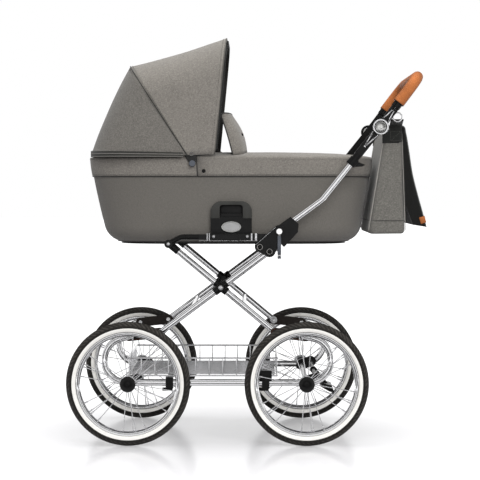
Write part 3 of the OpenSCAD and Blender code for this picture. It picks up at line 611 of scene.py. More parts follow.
def thicken_inwards(piece: bpy.types.Object, middle: Vector) -> bpy.types.Object:
    """Gives a cloth sheet its thickness on the side of a point.

    Args:
        piece: open sheet.
        middle: point on the sheet's inner side.

    Returns:
        The piece.
    """
    looks = sum((p.center - middle).dot(p.normal) * p.area for p in piece.data.polygons)
    return thicken(piece, CLOTH_THICKNESS, 1.0 if looks < 0 else -1.0)


def chamfer(piece: bpy.types.Object, width: float, segments: int = 2) -> bpy.types.Object:
    """Rounds the edges of a hard piece.

    Args:
        piece: piece with sharp edges.
        width: width of the rounding in metres.
        segments: faces across it.

    Returns:
        The piece.
    """
    bevel = piece.modifiers.new("edges", "BEVEL")
    bevel.width = width
    bevel.segments = segments
    bevel.limit_method = "ANGLE"
    return settle(piece)


def dress(piece: bpy.types.Object, body: str, *finishes: Finish,
          stands_for: Optional[str] = None) -> bpy.types.Object:
    """Gives a piece its finishes and its body.

    Args:
        piece: piece in place.
        body: body that it moves with.
        finishes: one or more finishes, the first with the record's slot.
        stands_for: construction node that it replaces, or None.

    Returns:
        The piece.
    """
    for finish in finishes:
        piece.data.materials.append(finish.material())
    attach(piece, body)
    if stands_for:
        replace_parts(piece, stands_for)
    log.info("%s rides on %s", piece.name, body)
    return piece


def finish_node(node: str, finish: Finish) -> None:
    """Gives a construction node its finish.

    Args:
        node: name of the node.
        finish: finish of all its faces.
    """
    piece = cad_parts[node]
    if not piece.material_slots:
        piece.data.materials.append(finish.material())
    for place in piece.material_slots:
        place.material = finish.material()
    log.info("%s is finished with %s", node, finish.name)


def capped(name: str, rows: Sequence[Sequence[Vector]]) -> bpy.types.Object:
    """Closed piece from rings of points, with one face over its first and its last ring.

    Args:
        name: name of the piece.
        rows: rings, each with as many points as the others.

    Returns:
        The piece.
    """
    points = [p for row in rows for p in row]
    count = len(rows[0])
    faces = grid_faces(len(rows), count, False, True)
    faces += [list(range(count)), [len(points) - count + i for i in range(count)]]
    return outward(mesh_piece(name, points, faces))


def tube(name: str, path: Sequence[Vector], radius: float, sides: int, closed: bool = False,
         flat: float = 1.0, up: Optional[Vector] = None) -> bpy.types.Object:
    """Round or flattened bar along a path.

    Args:
        name: name of the piece.
        path: points of its middle.
        radius: half its width in metres.
        sides: corners of its section.
        closed: the path is a loop.
        flat: height of the section as a share of its width.
        up: direction of the section's flat side, or None.

    Returns:
        The piece.
    """
    rows = []
    count = len(path)
    normal = up
    for i, place in enumerate(path):
        before = path[i - 1] if i or closed else path[0]
        after = path[(i + 1) % count] if i < count - 1 or closed else path[-1]
        along = (after - before).normalized()
        if normal is None:
            normal = along.orthogonal().normalized()
        normal = (normal - along * normal.dot(along)).normalized()
        across = along.cross(normal)
        turns = [2 * math.pi * k / sides for k in range(sides)]
        rows.append([place + radius * (math.cos(t) * across + flat * math.sin(t) * normal) for t in turns])
    points = [p for row in rows for p in row]
    faces = grid_faces(count, sides, closed, True)
    if not closed:
        faces += [list(range(sides))[::-1], [(count - 1) * sides + k for k in range(sides)]]
    return outward(mesh_piece(name, points, faces))


def joined(name: str, pieces: Sequence[bpy.types.Object]) -> bpy.types.Object:
    """One piece from several loose ones.

    Args:
        name: name of the result.
        pieces: mesh objects, which are used up.

    Returns:
        The joined piece.
    """
    points: list[Vector] = []
    faces: list[list[int]] = []
    marks: list[int] = []
    for piece in pieces:
        start = len(points)
        points += [v.co.copy() for v in piece.data.vertices]
        faces += [[start + i for i in p.vertices] for p in piece.data.polygons]
        marks += [p.material_index for p in piece.data.polygons]
        bpy.data.objects.remove(piece)
    made = mesh_piece(name, points, faces)
    for polygon, mark in zip(made.data.polygons, marks):
        polygon.material_index = mark
    return made


def marked(piece: bpy.types.Object, index: int) -> bpy.types.Object:
    """Gives all faces of a piece one of its finishes.

    Args:
        piece: piece to mark.
        index: number of the finish.

    Returns:
        The piece.
    """
    for polygon in piece.data.polygons:
        polygon.material_index = index
    return piece


def lathe(name: str, profile: Sequence[Flat], centre: Vector, out: float, segments: int,
          move: Optional[Callable[[float, int], float]] = None) -> bpy.types.Object:
    """Turned piece about an axis along Y.

    Args:
        name: name of the piece.
        profile: radius and outward offset of each point of its closed section, in millimetres.
        centre: middle of the axis.
        out: 1 where outwards is +Y, -1 where it is -Y.
        segments: faces around.
        move: change of radius by angle and profile point, in millimetres.

    Returns:
        The piece.
    """
    rows = []
    for k in range(segments):
        angle = 2 * math.pi * k / segments
        row = []
        for i, (radius, offset) in enumerate(profile):
            r = radius + (move(angle, i) if move else 0.0)
            row.append(centre + mm(r * math.cos(angle), out * offset, r * math.sin(angle)))
        rows.append(row)
    return outward(grid_piece(name, rows, True, True))


def oblong(x0: float, x1: float, z0: float, z1: float) -> list[Flat]:
    """Corners of an upright oblong in the side view."""
    return [(x0, z0), (x1, z0), (x1, z1), (x0, z1)]


def plate(name: str, outline: Sequence[Flat], y0: float, y1: float, edge: float) -> bpy.types.Object:
    """Flat plate with rounded edges, from an outline in the side view.

    Args:
        name: name of the piece.
        outline: X and Z of its corners in millimetres.
        y0: first face in millimetres.
        y1: second face in millimetres.
        edge: radius of its edges in millimetres.

    Returns:
        The piece.
    """
    count = len(outline)
    points = [mm(x, y, z) for y in (y0, y1) for x, z in outline]
    faces = [list(range(count)), [2 * count - 1 - i for i in range(count)]]
    faces += [[i, (i + 1) % count, count + (i + 1) % count, count + i] for i in range(count)]
    return chamfer(outward(mesh_piece(name, points, faces)), edge * 0.001)


def dome(name: str, centre: Vector, out: float, radius: float, height: float) -> bpy.types.Object:
    """Round bolt head or stud with its axis along Y.

    Args:
        name: name of the piece.
        centre: middle of its foot.
        out: 1 where outwards is +Y, -1 where it is -Y.
        radius: radius in millimetres.
        height: height in millimetres.

    Returns:
        The piece.
    """
    profile = [(0.01, height), (0.35 * radius, 0.97 * height), (0.65 * radius, 0.83 * height),
               (0.88 * radius, 0.55 * height), (radius, 0.2 * height), (radius, 0.0), (0.01, 0.0)]
    return lathe(name, profile, centre, out, 24)


def button(name: str, place: Vector, out: Vector, radius: float, height: float) -> bpy.types.Object:
    """Round stud that looks along a direction.

    Args:
        name: name of the piece.
        place: middle of its foot.
        out: direction of its axis.
        radius: radius in millimetres.
        height: height in millimetres.

    Returns:
        The piece.
    """
    made = dome(name, Vector(), 1.0, radius, height)
    turn = Vector((0.0, 1.0, 0.0)).rotation_difference(out).to_matrix().to_4x4()
    made.data.transform(Matrix.Translation(place) @ turn)
    return made


def stitches(name: str, path: Sequence[Vector], length: float, space: float,
             radius: float) -> bpy.types.Object:
    """Row of short stitches along a path.

    Args:
        name: name of the piece.
        path: points of the row.
        length: length of a stitch in metres.
        space: room between stitches in metres.
        radius: half a thread in metres.

    Returns:
        The piece.
    """
    lengths = [0.0]
    for a, b in zip(path, path[1:]):
        lengths.append(lengths[-1] + (b - a).length)

    def at(s: float) -> Vector:
        """Point at a length along the path."""
        for i in range(1, len(path)):
            if s <= lengths[i] or i == len(path) - 1:
                span = lengths[i] - lengths[i - 1] or 1.0
                return path[i - 1].lerp(path[i], min(1.0, (s - lengths[i - 1]) / span))
        return path[-1]

    made = []
    place = space
    while place + length < lengths[-1]:
        made.append(tube("stitch", [at(place), at(place + length / 2), at(place + length)], radius, 5))
        place += length + space
    return joined(name, made)


def pair(name: str, body: str, finish: Finish, make: Callable[..., bpy.types.Object],
         items: Sequence[tuple] = ((),)) -> bpy.types.Object:
    """Left and right copies as one dressed piece.

    Args:
        name: name of the piece.
        body: body that it moves with.
        finish: finish of all copies.
        make: makes a copy from the sign of its Y and one of the items.
        items: values of the copies on one side.

    Returns:
        The piece.
    """
    return dress(joined(name, [make(side.value, *item) for side in Side for item in items]), body, finish)


def heads(name: str, body: str, finish: Finish, places: Sequence[Flat], out: float, size: Flat) -> None:
    """Bolt heads or studs on both sides of the pram, as one dressed piece.

    Args:
        name: name of the piece.
        body: body that they move with.
        finish: finish of the heads.
        places: middles in the side view, in millimetres.
        out: distance of their feet from the middle of the pram, in millimetres.
        size: radius and height in millimetres.
    """
    pair(name, body, finish, lambda sign, x, z: dome("head", mm(x, sign * out, z), sign, *size), places)


def turned_rings(name: str, body: str, finish: Finish, places: Sequence[Flat], out: float,
                 profile: Sequence[Flat], segments: int) -> None:
    """Turned rings on both sides of the pram, as one dressed piece.

    Args:
        name: name of the piece.
        body: body that they move with.
        finish: finish of the rings.
        places: middles in the side view, in millimetres.
        out: distance from the middle of the pram, in millimetres.
        profile: radius and outward offset of each point, in millimetres.
        segments: faces around.
    """
    pair(name, body, finish,
         lambda sign, x, z: lathe("ring", profile, mm(x, sign * out, z), sign, segments), places)


def outer_face(node: str) -> float:
    """Distance of a node's right face from the middle of the pram, in millimetres."""
    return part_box(node)[1][1] * 1000


class Held(Enum):
    """Ways in which a sheet of cloth is held."""

    STRETCHED = "stretched"
    HUNG = "hung"


def crumple(piece: bpy.types.Object, height: float, size: float) -> bpy.types.Object:
    """Moves a sheet's points a little along its faces, as real cloth lies.

    Args:
        piece: sheet before it is thickened.
        height: largest movement in metres.
        size: size of a wave in metres.

    Returns:
        The piece.
    """
    normals = [v.normal.copy() for v in piece.data.vertices]
    for vertex, normal in zip(piece.data.vertices, normals):
        vertex.co += normal * height * noise.noise(vertex.co / size)
    return piece


def fill_out(piece: bpy.types.Object, voxel: float, cap: float, pressure: float = 4.0,
             steps: int = 20) -> bpy.types.Object:
    """Swells a closed piece as filled cloth by simulation.

    Args:
        piece: closed piece, a little smaller than the filled one.
        voxel: size of the remesh in metres.
        cap: longest way of a point in metres.
        pressure: pressure of the filling.
        steps: steps of the simulation.

    Returns:
        The piece.
    """
    remesh = piece.modifiers.new("even_mesh", "REMESH")
    remesh.mode = "VOXEL"
    remesh.voxel_size = voxel
    settle(piece)
    rest = [v.co.copy() for v in piece.data.vertices]
    cloth = piece.modifiers.new("filling", "CLOTH").settings
    cloth.use_pressure = True
    cloth.uniform_pressure_force = pressure
    cloth.effector_weights.gravity = 0.0
    for step in range(1, steps + 1):
        bpy.context.scene.frame_set(step)
    settle(piece)
    bpy.context.scene.frame_set(1)
    for vertex, start in zip(piece.data.vertices, rest):
        way = vertex.co - start
        if way.length > cap:
            vertex.co = start + way * (cap / way.length)
    for polygon in piece.data.polygons:
        polygon.use_smooth = True
    return piece


@dataclass
class Studio:
    """Camera, floor and light, with sizes in metres."""

    stand: Place = (0.106, -4.91, 0.759)
    lens: float = 120.5
    pitch: float = 2.01
    yaw: float = 0.5
    light: float = 0.6
    floor_half: float = 30.0
    floor_tones: tuple[Colour, Colour] = ((0.45, 0.445, 0.46), (0.47, 0.465, 0.48))
    floor_rough: Flat = (0.15, 0.2)
    # Floor glow near the pram and far off; the weaker glow near the pram is a painted shadow.
    lift: Flat = (0.22, 0.68)
    lift_reach: Flat = (0.3, 1.2)
    aim: Place = (0.05, 0.0, 0.6)
    card_ring: Place = (0.1, -3.6, 0.7)
    card_radii: Flat = (2.2, 6.5)
    card_start: Flat = (0.01, 0.02)

    LAMPS = (("key", (0.9, -3.2, 2.3), 92.0, 2.2), ("top", (0.0, 0.1, 3.6), 80.0, 2.6))
    CARDS = (
        ((-4, -1.7, 0.004), (4, -1.7, 0.004), (4, -0.48, 0.004), (-4, -0.48, 0.004)),
        ((-4, -4.2, 0.004), (4, -4.2, 0.004), (4, -2.6, 0.004), (-4, -2.6, 0.004)),
        ((-6, 3.4, 3.0), (6, 3.4, 3.0), (6, 0.2, 3.0), (-6, 0.2, 3.0)),
        ((-6, 3.4, 1.9), (6, 3.4, 1.9), (6, 3.4, 3.0), (-6, 3.4, 3.0)),
        ((-1.1, -0.1, 0.004), (1.1, -0.1, 0.004), (1.1, 0.5, 0.004), (-1.1, 0.5, 0.004)),
        ((-3.0, 2.4, 0.0), (-3.0, 0.4, 0.0), (-3.0, 0.4, 3.0), (-3.0, 2.4, 3.0)),
        ((3.2, 0.4, 0.0), (3.2, 2.4, 0.0), (3.2, 2.4, 3.0), (3.2, 0.4, 3.0)),
    )

    def build(self) -> None:
        """Makes everything around the pram."""
        bpy.context.scene.view_settings.view_transform = "Standard"
        self.camera()
        self.world()
        self.floor()
        for lamp in self.LAMPS:
            self.lamp(*lamp)
        self.cards()

    def camera(self) -> None:
        """Camera at the photograph's place."""
        data = bpy.data.cameras.new("camera")
        data.lens = self.lens
        data.sensor_width = 36.0
        data.clip_end = 100.0
        view = bpy.data.objects.new("camera", data)
        view.location = self.stand
        view.rotation_euler = (math.radians(90 - self.pitch), 0.0, math.radians(self.yaw))
        bpy.context.scene.collection.objects.link(view)
        bpy.context.scene.camera = view

    def world(self) -> None:
        """Even light, white where it is seen."""
        world = bpy.data.worlds.new("studio")
        world.use_nodes = True
        bpy.context.scene.world = world
        nodes = Nodes(world.node_tree)
        back = nodes.tree.nodes["Background"].inputs
        back["Color"].default_value = (1.0, 1.0, 1.0, 1.0)
        nodes.link(nodes.ranged(nodes.seen(), self.light, 1.0, (0.0, 1.0)), back["Strength"])

    def floor(self) -> None:
        """Pale floor that takes the shadow, and glows white where seen, less near the pram: a painted shadow
        on top of the real one.
        """
        corners = oblong(-self.floor_half, self.floor_half, -self.floor_half, self.floor_half)
        floor = mesh_piece("floor", [Vector((x, y, 0.0)) for x, y in corners], [[0, 1, 2, 3]])
        graph = Graph("pale_floor")
        cloud = graph.speckle(3.0, 3.0)
        graph.tinted(*self.floor_tones, graph.ranged(cloud, 0.0, 1.0))
        graph.link(graph.ranged(cloud, *self.floor_rough), graph.shader.inputs["Roughness"])
        graph.set(Specular_IOR_Level=0.15, Emission_Color=(1.0, 1.0, 1.0, 1.0))
        seen = graph.seen()
        reach = graph.node("ShaderNodeVectorMath", operation="LENGTH")
        graph.link(graph.coords, reach.inputs[0])
        # Glow rises with distance from the middle: white backdrop far off, painted shadow near the pram.
        glow_with_painted_shadow = graph.merged(seen, graph.ranged(reach.outputs["Value"], *self.lift, self.lift_reach))
        graph.link(glow_with_painted_shadow, graph.shader.inputs["Emission Strength"])
        floor.data.materials.append(graph.material)

    def lamp(self, name: str, place: Place, power: float, size: float) -> None:
        """Soft square lamp that points at the bassinet.

        Args:
            name: name of the lamp.
            place: middle of its face.
            power: power in watts.
            size: length of its sides.
        """
        data = bpy.data.lights.new(name, "AREA")
        data.energy = power
        data.size = size
        made = bpy.data.objects.new(name, data)
        made.location = place
        aim = Vector(self.aim) - made.location
        made.rotation_euler = aim.to_track_quat("-Z", "Y").to_euler()
        made.visible_glossy = False
        bpy.context.scene.collection.objects.link(made)

    def card_finish(self) -> bpy.types.Material:
        """Near black for the front faces, for mirrored rays that don't start on the floor.

        Returns:
            The material.
        """
        graph = Graph("dark_card")
        graph.tinted((0.01, 0.01, 0.01), (0.03, 0.03, 0.03), graph.speckle(0.5))
        place = graph.node("ShaderNodeNewGeometry").outputs
        at, way = [graph.node("ShaderNodeSeparateXYZ") for _ in range(2)]
        graph.link(place["Position"], at.inputs[0])
        graph.link(place["Incoming"], way.inputs[0])
        # The height of the mirroring surface is the same from every view.
        rise = graph.merged(way.outputs["Z"], graph.node("ShaderNodeLightPath").outputs["Ray Length"])
        start = graph.ranged(graph.merged(at.outputs["Z"], rise, "ADD"), 0.0, 1.0, self.card_start)
        front = graph.ranged(place["Backfacing"], 1.0, 0.0, (0.0, 1.0))
        graph.link(graph.merged(front, start), graph.shader.inputs["Alpha"])
        return graph.material

    def cards(self) -> None:
        """Dark cards that only plated metal mirrors, in a ring before the pram and around it."""
        finish = self.card_finish()
        near, far = self.card_radii
        x, y, z = self.card_ring
        ring = [(heading(10 * i), heading(10 * i + 10)) for i in range(36)]
        strips = [[(x + r * c, y, z + r * s) for r, (c, s) in zip((near, near, far, far), (a, b, b, a))]
                  for a, b in ring if max(a[1], b[1]) > -0.3]
        for i, corners in enumerate([*strips, *self.CARDS]):
            card = mesh_piece(f"dark_card_{i}", [Vector(c) for c in corners], [[0, 1, 2, 3]])
            card.data.materials.append(finish)
            card.visible_camera = card.visible_diffuse = card.visible_shadow = False
            card.visible_transmission = card.visible_volume_scatter = False


@dataclass
class Wheel:
    """Wire wheel with a white-wall tyre, sizes in millimetres and angles in degrees."""

    end: End
    side: Side
    hub_at: Place = (258.5, 280.0, 180.0)
    middle: float = 162.0
    section: float = 18.0
    bead: float = 127.7
    around: int = 400
    lugs: int = 78
    lug_height: float = 1.8
    lug_slant: float = 9.0
    lug_band: Flat = (10.0, 64.0)
    wall_from: float = 87.0
    spokes: int = 24
    spoke_turn: float = 9.0
    rim_well: float = 138.0

    RIM_HALF = ((150.9, 12.6), (150.4, 14.2), (148.6, 15.1), (146.2, 14.9), (143.6, 13.4), (141.2, 10.8),
                (139.4, 7.4), (138.3, 3.6))
    NIPPLE = (138.6, 134.0, 128.0)
    HUB_SHELL = ((6.3, -22.0), (12.0, -22.0), (13.6, -21.0), (14.2, -17.0), (20.5, -15.9), (22.0, -15.0),
                 (22.0, -13.2), (20.5, -12.4), (13.4, -11.0), (11.8, -6.0), (11.4, 0.0), (11.8, 6.0),
                 (13.4, 11.0), (20.5, 12.4), (22.0, 13.2), (22.0, 15.0), (20.5, 15.9), (15.0, 16.4),
                 (15.0, 18.0), (6.3, 18.0))
    HUB_CAP = ((0.01, 32.1), (5.0, 31.6), (10.0, 29.9), (15.0, 26.9), (19.0, 23.3), (21.6, 20.4),
               (22.8, 19.0), (22.6, 18.2), (0.01, 18.2))

    @property
    def name(self) -> str:
        """Name of the wheel in the nodes."""
        return f"{self.end.word}_{self.side.word}"

    @property
    def body(self) -> str:
        """Body of the wheel."""
        return f"wheel_{self.name}"

    @property
    def centre(self) -> Vector:
        """Middle of the wheel."""
        x, y, z = self.hub_at
        return mm(self.end.value * x, self.side.value * y, z)

    def build(self) -> None:
        """Makes and dresses the wheel."""
        self.tyre()
        self.rim()
        self.hub()
        finish_node(f"{self.name}_spokes", WIRE)

    def tyre(self) -> None:
        """Tyre with slanted lugs, lighter lug tops as a painted highlight, and two pale side walls."""
        steps = 34
        angles = [math.radians(-self.bead + 2 * self.bead * i / steps) for i in range(steps + 1)]
        profile = [(self.middle + self.section * math.cos(a), self.section * math.sin(a)) for a in angles]

        def grooved(i: int) -> bool:
            """Whether a point of the profile lies on the tread."""
            return self.lug_band[0] < abs(math.degrees(angles[i])) < self.lug_band[1]

        def groove(turn: float, i: int) -> float:
            """Change of radius by the tread.

            Args:
                turn: angle round the wheel.
                i: number of the profile's point.

            Returns:
                The change in millimetres.
            """
            if not grooved(i):
                return 0.0
            wave = math.sin(self.lugs * turn + self.lug_slant * abs(angles[i]))
            return -self.lug_height * (0.5 - 0.5 * max(-1.0, min(1.0, 2.2 * wave)))

        tyre = lathe(f"{self.name}_tyre_dressed", profile, self.centre, self.side.value, self.around, groove)
        for polygon in tyre.data.polygons:
            row, column = divmod(polygon.index, len(profile))
            if column == steps:
                continue
            turn = 2 * math.pi * (row + 0.5) / self.around
            # Side walls take the pale rubber; lug tops take the lighter rubber, a painted highlight.
            if abs(math.degrees(angles[column] + angles[column + 1]) / 2) > self.wall_from:
                polygon.material_index = 1
            elif grooved(column) and groove(turn, column) == 0.0:
                polygon.material_index = 2
        dress(tyre, self.body, RUBBER, WHITE_WALL, LUG_TOP_PAINTED_HIGHLIGHT, stands_for=f"{self.name}_tyre")

    def rim(self) -> None:
        """Rounded rim with spoke nipples."""
        profile = [*self.RIM_HALF, (self.rim_well, 0.0), *((r, -y) for r, y in reversed(self.RIM_HALF))]
        pieces = [lathe("ring", profile, self.centre, self.side.value, 192)]
        for i in range(self.spokes):
            x, z = heading(i * 360 / self.spokes + (self.spoke_turn if i % 4 < 2 else -self.spoke_turn))
            half = self.side.value * (1 if i % 2 == 0 else -1)
            path = [self.centre + mm(r * x, half * (2 + (self.rim_well - r) * 0.1), -r * z)
                    for r in self.NIPPLE]
            pieces.append(tube("nipple", path, 0.0021, 8))
        rim = joined(f"{self.name}_rim_dressed", pieces)
        dress(rim, self.body, CHROME, stands_for=f"{self.name}_rim")

    def hub(self) -> None:
        """Plated hub with flanges and a black domed cap."""
        shell = lathe("shell", self.HUB_SHELL, self.centre, self.side.value, 72)
        cap = lathe("cap", self.HUB_CAP, self.centre, self.side.value, 72)
        hub = joined(f"{self.name}_hub_dressed", [shell, marked(cap, 1)])
        dress(hub, self.body, STEEL, BLACK, stands_for=f"{self.name}_hub")


@dataclass(frozen=True)
class RailFittings:
    """Clamps, bolt and bright edge line of one rail, the line a painted highlight, sizes in millimetres."""

    body: str
    clamps: tuple[Flat, ...]
    clamp_out: float
    bolt_x: float
    bolt_out: float
    line_x: Place
    line_out: float
    clamp_z: Flat = (592.6, 615.2)
    bolt_z: float = 605.5
    line_z: float = 593.4

    def build(self) -> None:
        """Makes and dresses the fittings of both sides."""
        pieces = []
        for side in Side:
            sign = side.value
            for x0, x1 in self.clamps:
                faces = (sign * (self.clamp_out - 2.0), sign * self.clamp_out)
                pieces.append(plate("clamp", oblong(x0, x1, *self.clamp_z), *faces, 0.7))
            pieces.append(dome("bolt", mm(self.bolt_x, sign * self.bolt_out, self.bolt_z), sign, 4.6, 2.4))
            # Thin bright steel bead along the rail's lower edge: a painted highlight.
            path = [mm(x, sign * self.line_out, self.line_z) for x in self.line_x]
            pieces.append(tube("line", path, 0.0008, 6))
        dress(joined(f"{self.body}_clamps", pieces), self.body, STEEL)


@dataclass
class Chassis:
    """Base, folding legs, rails and push tubes, sizes in millimetres."""

    foot: Flat = (169.0, 324.0)
    eye: Flat = (258.6, 314.0)
    strap_half: float = 15.0
    strap_faces: Flat = (233.0, 236.0)
    stitch_inset: float = 3.5
    top: Flat = (-142.5, 584.0)
    cross: Flat = (9.4, 457.2)
    leg_y: float = 222.0
    sleeve: float = 36.0
    housing_y: float = 266.0
    lever_x: Flat = (173.8, 184.2)

    NODES = {
        CHROME: ("spring_frame_left", "spring_frame_right", "rising_legs", "falling_legs", "push_tubes",
                 "strap_bolts", "housing_pins", "bag_rings"),
        SATIN: ("hinge_button_left", "hinge_button_right"),
        STEEL: ("axles",),
        DARK_STEEL: ("lock_levers",),
        WIRE: ("basket_floor", "basket_walls"),
        BLACK_PAINT: ("basket_bars", "front_rails", "centre_rails", "brake_pedal"),
        BLACK: ("axle_blocks", "rising_pivot_blocks", "falling_pivot_blocks", "hinge_housings",
                "push_fittings", "collar_levers", "handle_arms"),
    }
    RAILS = (
        RailFittings("front_rail", ((-31.0, -28.2), (-25.0, -22.2)), 260.2, bolt_x=-10.9, bolt_out=258.2,
                     line_x=(-53.0, 0.0, 59.0), line_out=258.0),
        RailFittings("upper_frame", ((97.0, 101.5), (108.5, 115.0)), 256.0, bolt_x=86.9, bolt_out=254.0,
                     line_x=(61.0, 90.0, 118.0), line_out=253.8),
    )
    HOUSING_EDGE = ((112.8, 583.6), (140.0, 607.5), (167.8, 631.9))
    HOUSING_BOLTS = ((123.0, 576.0), (151.0, 563.0))
    BOLT_RING = ((6.1, 0.0), (6.1, 1.2), (6.8, 1.8), (8.2, 1.8), (8.9, 1.0), (8.9, 0.0))
    LEVER_BARS = ((554.0, 609.0), (544.6, 548.8))
    LEVER_BANDS = ((549.4, 553.2), (540.6, 544.2))

    def build(self) -> None:
        """Dresses the frame and adds its straps and clamps."""
        for finish, nodes in self.NODES.items():
            for node in nodes:
                finish_node(node, finish)
        self.straps()
        for rail in self.RAILS:
            rail.build()
        self.housing_trim()
        self.leg_sleeves()
        self.lever_sleeves()

    def outline(self, end: End, inset: float) -> list[Flat]:
        """Outline of a strap from the leg's foot to the spring's eye.

        Args:
            end: end of the base.
            inset: distance inwards.

        Returns:
            Its points in the side view.
        """
        slope = math.degrees(math.atan2(self.eye[1] - self.foot[1], self.eye[0] - self.foot[0]))
        r = self.strap_half - inset
        points = []
        for start, (x, z) in ((90, self.foot), (-90, self.eye)):
            for i in range(13):
                c, s = heading(slope + start + 15 * i)
                points.append((end.value * (x + r * c), z + r * s))
        return points

    def straps(self) -> None:
        """Leather straps with a row of stitches."""
        def strap(sign: int, end: End) -> bpy.types.Object:
            """One strap without its stitches."""
            return plate("strap", self.outline(end, 0.0), *(sign * y for y in self.strap_faces), 0.9)

        def row(sign: int, end: End) -> bpy.types.Object:
            """Stitches of one strap.

            Args:
                sign: sign of its Y.
                end: end of the base.

            Returns:
                The stitches.
            """
            outline = self.outline(end, self.stitch_inset)
            path = [mm(x, sign * (self.strap_faces[1] + 0.15), z) for x, z in outline + outline[:1]]
            return stitches("row", path, 0.004, 0.0022, 0.0004)

        ends = [(end,) for end in End]
        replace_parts(pair("leather_straps_dressed", "base", STRAP_HIDE, strap, ends), "leather_straps")
        pair("strap_stitches", "base", TAN_THREAD, row, ends)

    def housing_trim(self) -> None:
        """Bright edge lines, a painted highlight, and round bolt heads of the hinge housings."""
        def line(sign: int) -> bpy.types.Object:
            """Bright steel line along one edge, a painted highlight."""
            return tube("line", [mm(x, sign * self.housing_y, z) for x, z in self.HOUSING_EDGE], 0.0008, 6)

        pair("housing_edge_lines", "upper_frame", STEEL, line)
        out = outer_face("housing_pins")
        heads("housing_bolt_caps", "upper_frame", BLACK, self.HOUSING_BOLTS, out, (6.0, 3.0))
        turned_rings("housing_bolt_rings", "upper_frame", DARK_STEEL, self.HOUSING_BOLTS, out,
                     self.BOLT_RING, 36)

    def leg_sleeves(self) -> None:
        """Black sleeves at the tops of the falling legs, with bolt heads on the joints."""
        share = self.sleeve / math.hypot(self.cross[0] - self.top[0], self.cross[1] - self.top[1])
        x, z = [mix(a, b, share) for a, b in zip(self.top, self.cross)]

        def sleeve(sign: int) -> bpy.types.Object:
            """Sleeve of one leg."""
            path = [mm(mix(self.top[0], x, t), sign * self.leg_y, mix(self.top[1], z, t))
                    for t in (0.0, 0.04, 0.5, 0.96, 1.0)]
            return tube("sleeve", path, 0.0108, 24)

        pair("leg_sleeves", "falling", BLACK, sleeve)
        heads("rail_end_bolts", "front_rail", CHROME, [self.top], outer_face("front_rails"), (4.6, 2.4))
        heads("cross_nuts", "rising", STEEL, [self.cross], outer_face("rising_pivot_blocks"), (6.8, 2.8))

    def lever_sleeves(self) -> None:
        """Dark sleeves of the lock levers with banded ends."""
        out = outer_face("lock_levers")

        def sleeve(sign: int, z0: float, z1: float) -> bpy.types.Object:
            """One length of a lever's sleeve."""
            return plate("sleeve", oblong(*self.lever_x, z0, z1), sign * (out - 8.6), sign * (out + 0.8), 1.0)

        pair("lever_bars", "locks", GUN_METAL, sleeve, self.LEVER_BARS)
        pair("lever_bands", "locks", STEEL, sleeve, self.LEVER_BANDS)


@dataclass
class Handle:
    """Leather grip, inlay bars and hinge rings, sizes in millimetres."""

    hinge: Flat = (472.0, 923.0)
    start: Flat = (523.8, 991.7)
    slope: float = 53.0
    reach: float = 99.0
    bend: float = 60.0
    radius: float = 16.4
    half_width: float = 250.3
    bar_reach: Flat = (23.0, 67.0)
    bar_spread: Flat = (8.4, 1.6)
    upper_y: float = 254.6
    lower_y: float = 246.3
    lower_slope: float = 231.3
    ring_y: float = 261.5

    RING = ((17.6, -0.6), (17.7, 1.0), (18.6, 1.8), (20.8, 2.0), (22.4, 1.2), (23.0, -0.6), (22.6, -1.4),
            (17.6, -1.2))

    def build(self) -> None:
        """Makes and dresses the handle."""
        self.grip()
        self.inlays()
        turned_rings("hinge_rings", "handle", CHROME, [self.hinge], self.ring_y, self.RING, 72)

    def at(self, along: float, y: float, off: float = 0.0) -> Vector:
        """Place along the arm's slope, with an offset square to it."""
        c, s = heading(self.slope)
        return mm(self.start[0] + along * c - off * s, y, self.start[1] + along * s + off * c)

    def bow(self, off: float) -> list[Vector]:
        """Path of the grip's bow from the left arm to the right one.

        Args:
            off: distance square to the arm's slope.

        Returns:
            The places in metres.
        """
        arm, span = self.reach - self.bend, self.half_width - self.bend
        half = [(i / 6 * arm, self.half_width) for i in range(7)]
        for i in range(1, 13):
            c, s = heading(90 - 7.5 * i)
            half.append((arm + self.bend * c, span + self.bend * s))
        middle = [(self.reach, mix(-span, span, i / 20)) for i in range(1, 20)]
        left = [(a, -y) for a, y in half]
        return [self.at(a, y, off) for a, y in left + middle + half[::-1]]

    def grip(self) -> None:
        """Leather tube with its seam underneath and end rings."""
        c, s = heading(self.slope + 90)
        grip = tube("grip_dressed", self.bow(0.0), self.radius * 0.001, 28, up=Vector((c, 0.0, s)))
        dress(grip, "handle", TAN_HIDE, stands_for="grip")
        dress(tube("grip_seam", self.bow(-self.radius + 0.1), 0.0007, 6), "handle", TAN_THREAD)

        def collar(sign: int) -> bpy.types.Object:
            """Ring at one end of the grip."""
            return tube("collar", [self.at(a, sign * self.half_width) for a in (-0.6, 0.4, 1.4)], 0.0166, 28)

        pair("grip_collars", "handle", BLACK, collar)

    def inlay(self, sign: int, slope: float, out: float) -> bpy.types.Object:
        """Two bars that meet in a dot, away from the hinge.

        Args:
            sign: sign of their Y.
            slope: direction from the hinge in degrees.
            out: distance from the middle of the pram.

        Returns:
            The bars and the dot.
        """
        c, s = heading(slope)

        def place(along: float, off: float) -> Vector:
            """Place at a distance from the hinge, with an offset square to it."""
            return mm(self.hinge[0] + along * c - off * s, sign * out, self.hinge[1] + along * s + off * c)

        made = []
        for half in (-1, 1):
            path = [place(mix(*self.bar_reach, t), half * mix(*self.bar_spread, t)) for t in (0.0, 0.5, 1.0)]
            made.append(tube("bar", path, 0.0019, 10, flat=0.8, up=Vector((0.0, 1.0, 0.0))))
        made.append(dome("dot", place(self.bar_reach[1] + 5, 0.0), sign, 3.4, 2.2))
        return joined("inlay", made)

    def inlays(self) -> None:
        """Plated bars on the arms above and below the hinges."""
        pair("upper_inlay_bars", "handle", CHROME, self.inlay, [(self.slope, self.upper_y)])
        pair("lower_inlay_bars", "push_frame", CHROME, self.inlay, [(self.lower_slope, self.lower_y)])


